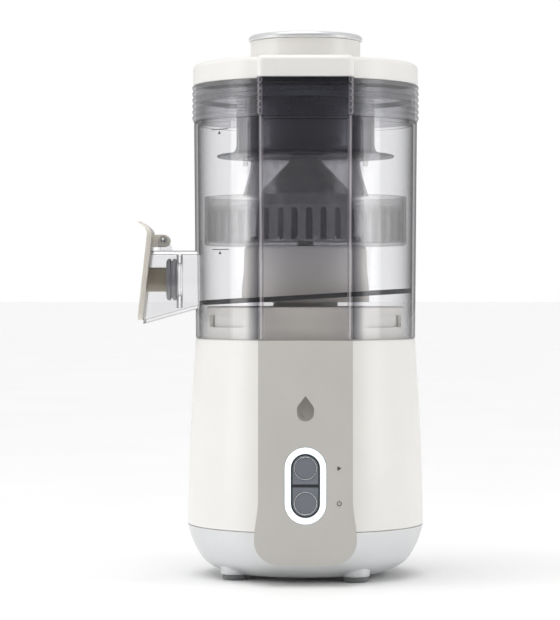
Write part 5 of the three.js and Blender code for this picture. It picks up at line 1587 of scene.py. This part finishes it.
# ---- Pieces that keep their CAD shape --------------------------------------------------------


@dataclass
class InnerParts:
    """CAD nodes whose shape is right: they only get their finishes."""

    finishes: dict[str, Finish] = field(default_factory=lambda: {
        "deck_seal": BLACK_RUBBER, "interlock_switch": DARK, "control_board": BOARD,
        "start_switch": DARK, "power_switch": DARK, "mount_isolator_1": BLACK_RUBBER,
        "mount_isolator_2": BLACK_RUBBER, "mount_isolator_3": BLACK_RUBBER,
        "motor_upper_bracket": STEEL, "motor_lower_bracket": STEEL, "upper_bearing": CHROME,
        "lower_bearing": CHROME, "stator_core": LAMINATED, "field_coil_front": COPPER,
        "field_coil_rear": COPPER, "brush_left": DARK, "brush_right": DARK,
        "armature_core": LAMINATED, "armature_winding": COPPER, "commutator": COPPER,
        "cooling_fan": DARK, "motor_shaft": STEEL, "drive_coupling": DARK, "spindle_bush": BRASS,
        "spindle_seal": BLACK_RUBBER, "filter_mesh": MESH, "cutter_disc": STEEL,
        "basket_spindle": DARK, "lid_seal": GREY_RUBBER,
    })

    def build(self) -> None:
        """Dresses every one of them."""
        for node, finish in self.finishes.items():
            dress(node, finish)


# ---- Studio --------------------------------------------------------------------------------


@dataclass
class Studio:
    """Pale floor, soft light from above, two tall side lights and the camera."""

    floor_radius: float = 40.0
    sun_power: float = 2.0
    sun_spread: float = 50.0
    sun_turn: Point = (8.0, -6.0)
    box_place: Place = (1.45, -0.45, 0.45)
    box_size: Point = (0.55, 1.4)
    box_powers: Point = (5.5, 5.0)
    backdrop: float = 1.0
    fill: float = 0.55
    front_fill: float = 0.1
    camera_place: Place = (0.0, -1.905, 0.212)
    lens: float = 148.6
    pitch: float = 89.53
    yaw: float = 0.57

    def floor(self) -> None:
        """A wide pale floor."""
        Bench.clear()
        bpy.ops.mesh.primitive_circle_add(vertices=96, radius=self.floor_radius, fill_type="NGON")
        ground = bpy.context.object
        ground.name = "studio_floor"
        tree = Tree("floor_paint")
        tone = tree.blend(tree.spread(tree.noise(3, 2), 0, 1), (0.93, 0.93, 0.93), (0.95, 0.95, 0.95))
        rough = tree.spread(tree.noise(8, 3), 0.5, 0.6)
        shader = tree.add("ShaderNodeBsdfPrincipled", {
            "Base Color": tone, "Roughness": rough, "Specular IOR Level": 0.25,
            "Normal": tree.bump(tree.noise(400, 2), 0.1, 0.05)})
        ground.data.materials.append(tree.close(shader.outputs[0]))
        ground.select_set(False)

    def world(self) -> None:
        """White surroundings, dimmer as a light than as a backdrop and dimmest behind the camera."""
        world = bpy.data.worlds.new("studio")
        world.use_nodes = True
        bpy.context.scene.world = world
        nodes, links = world.node_tree.nodes, world.node_tree.links
        nodes.clear()
        aim = nodes.new("ShaderNodeSeparateXYZ")
        links.new(nodes.new("ShaderNodeTexCoord").outputs["Generated"], aim.inputs[0])
        fill = nodes.new("ShaderNodeMapRange")
        for name, value in (("From Min", -1.0), ("From Max", 0.1), ("To Min", self.front_fill),
                            ("To Max", self.fill)):
            fill.inputs[name].default_value = value
        links.new(aim.outputs["Y"], fill.inputs["Value"])
        level = nodes.new("ShaderNodeMix")
        level.inputs[3].default_value = self.backdrop
        links.new(fill.outputs[0], level.inputs[2])
        links.new(nodes.new("ShaderNodeLightPath").outputs["Is Camera Ray"], level.inputs[0])
        back = nodes.new("ShaderNodeBackground")
        back.inputs["Color"].default_value = (1, 1, 1, 1)
        out = nodes.new("ShaderNodeOutputWorld")
        links.new(level.outputs[0], back.inputs["Strength"])
        links.new(back.outputs[0], out.inputs["Surface"])

    def area(self, name: str, place_at: Place, size: Point, power: float) -> None:
        """A soft box that faces the juicer.

        Args:
            name: its name.
            place_at: where it stands, in metres.
            size: its width and height in metres.
            power: its power in watts.
        """
        light = bpy.data.lights.new(name, "AREA")
        light.shape = "RECTANGLE"
        light.size, light.size_y = size
        light.energy = power
        obj = bpy.data.objects.new(name, light)
        bpy.context.scene.collection.objects.link(obj)
        obj.location = place_at
        obj.rotation_euler = (Vector((0, 0, 0.2)) - Vector(place_at)).to_track_quat("-Z", "Y").to_euler()

    def lights(self) -> None:
        """A wide soft sun from above and two tall boxes beside the camera."""
        sun = bpy.data.lights.new("overhead", "SUN")
        sun.energy = self.sun_power
        sun.angle = math.radians(self.sun_spread)
        obj = bpy.data.objects.new("overhead", sun)
        bpy.context.scene.collection.objects.link(obj)
        obj.rotation_euler = (math.radians(self.sun_turn[0]), math.radians(self.sun_turn[1]), 0)
        across, back, up = self.box_place
        left, right = self.box_powers
        self.area("left_box", (-across, back, up), self.box_size, left)
        self.area("right_box", (across, back, up), self.box_size, right)

    def camera(self) -> None:
        """The camera, level with the bowl and turned a little to the spout."""
        data = bpy.data.cameras.new("view")
        data.sensor_width = 36.0
        data.lens = self.lens
        obj = bpy.data.objects.new("view", data)
        bpy.context.scene.collection.objects.link(obj)
        obj.location = self.camera_place
        obj.rotation_euler = (math.radians(self.pitch), 0, math.radians(self.yaw))
        bpy.context.scene.camera = obj

    def build(self) -> None:
        """Sets up the studio."""
        self.floor()
        self.world()
        self.lights()
        self.camera()
        scene = bpy.context.scene
        scene.view_settings.view_transform = "Standard"
        scene.cycles.transparent_max_bounces = 48
        scene.cycles.max_bounces = 12


def main() -> None:
    """Builds the juicer and the studio round it."""
    logging.basicConfig(level=logging.INFO, format="%(name)s: %(message)s")
    Bench.clear()
    Studio().build()
    base = Base()
    base.build()
    FrontPanel().build(base)
    Bowl().build()
    SpoutFlap().build()
    Basket().build()
    Lid().build()
    Pusher().build()
    InnerParts().build()
    Bench.clear()


if __name__ == "__main__":
    main()
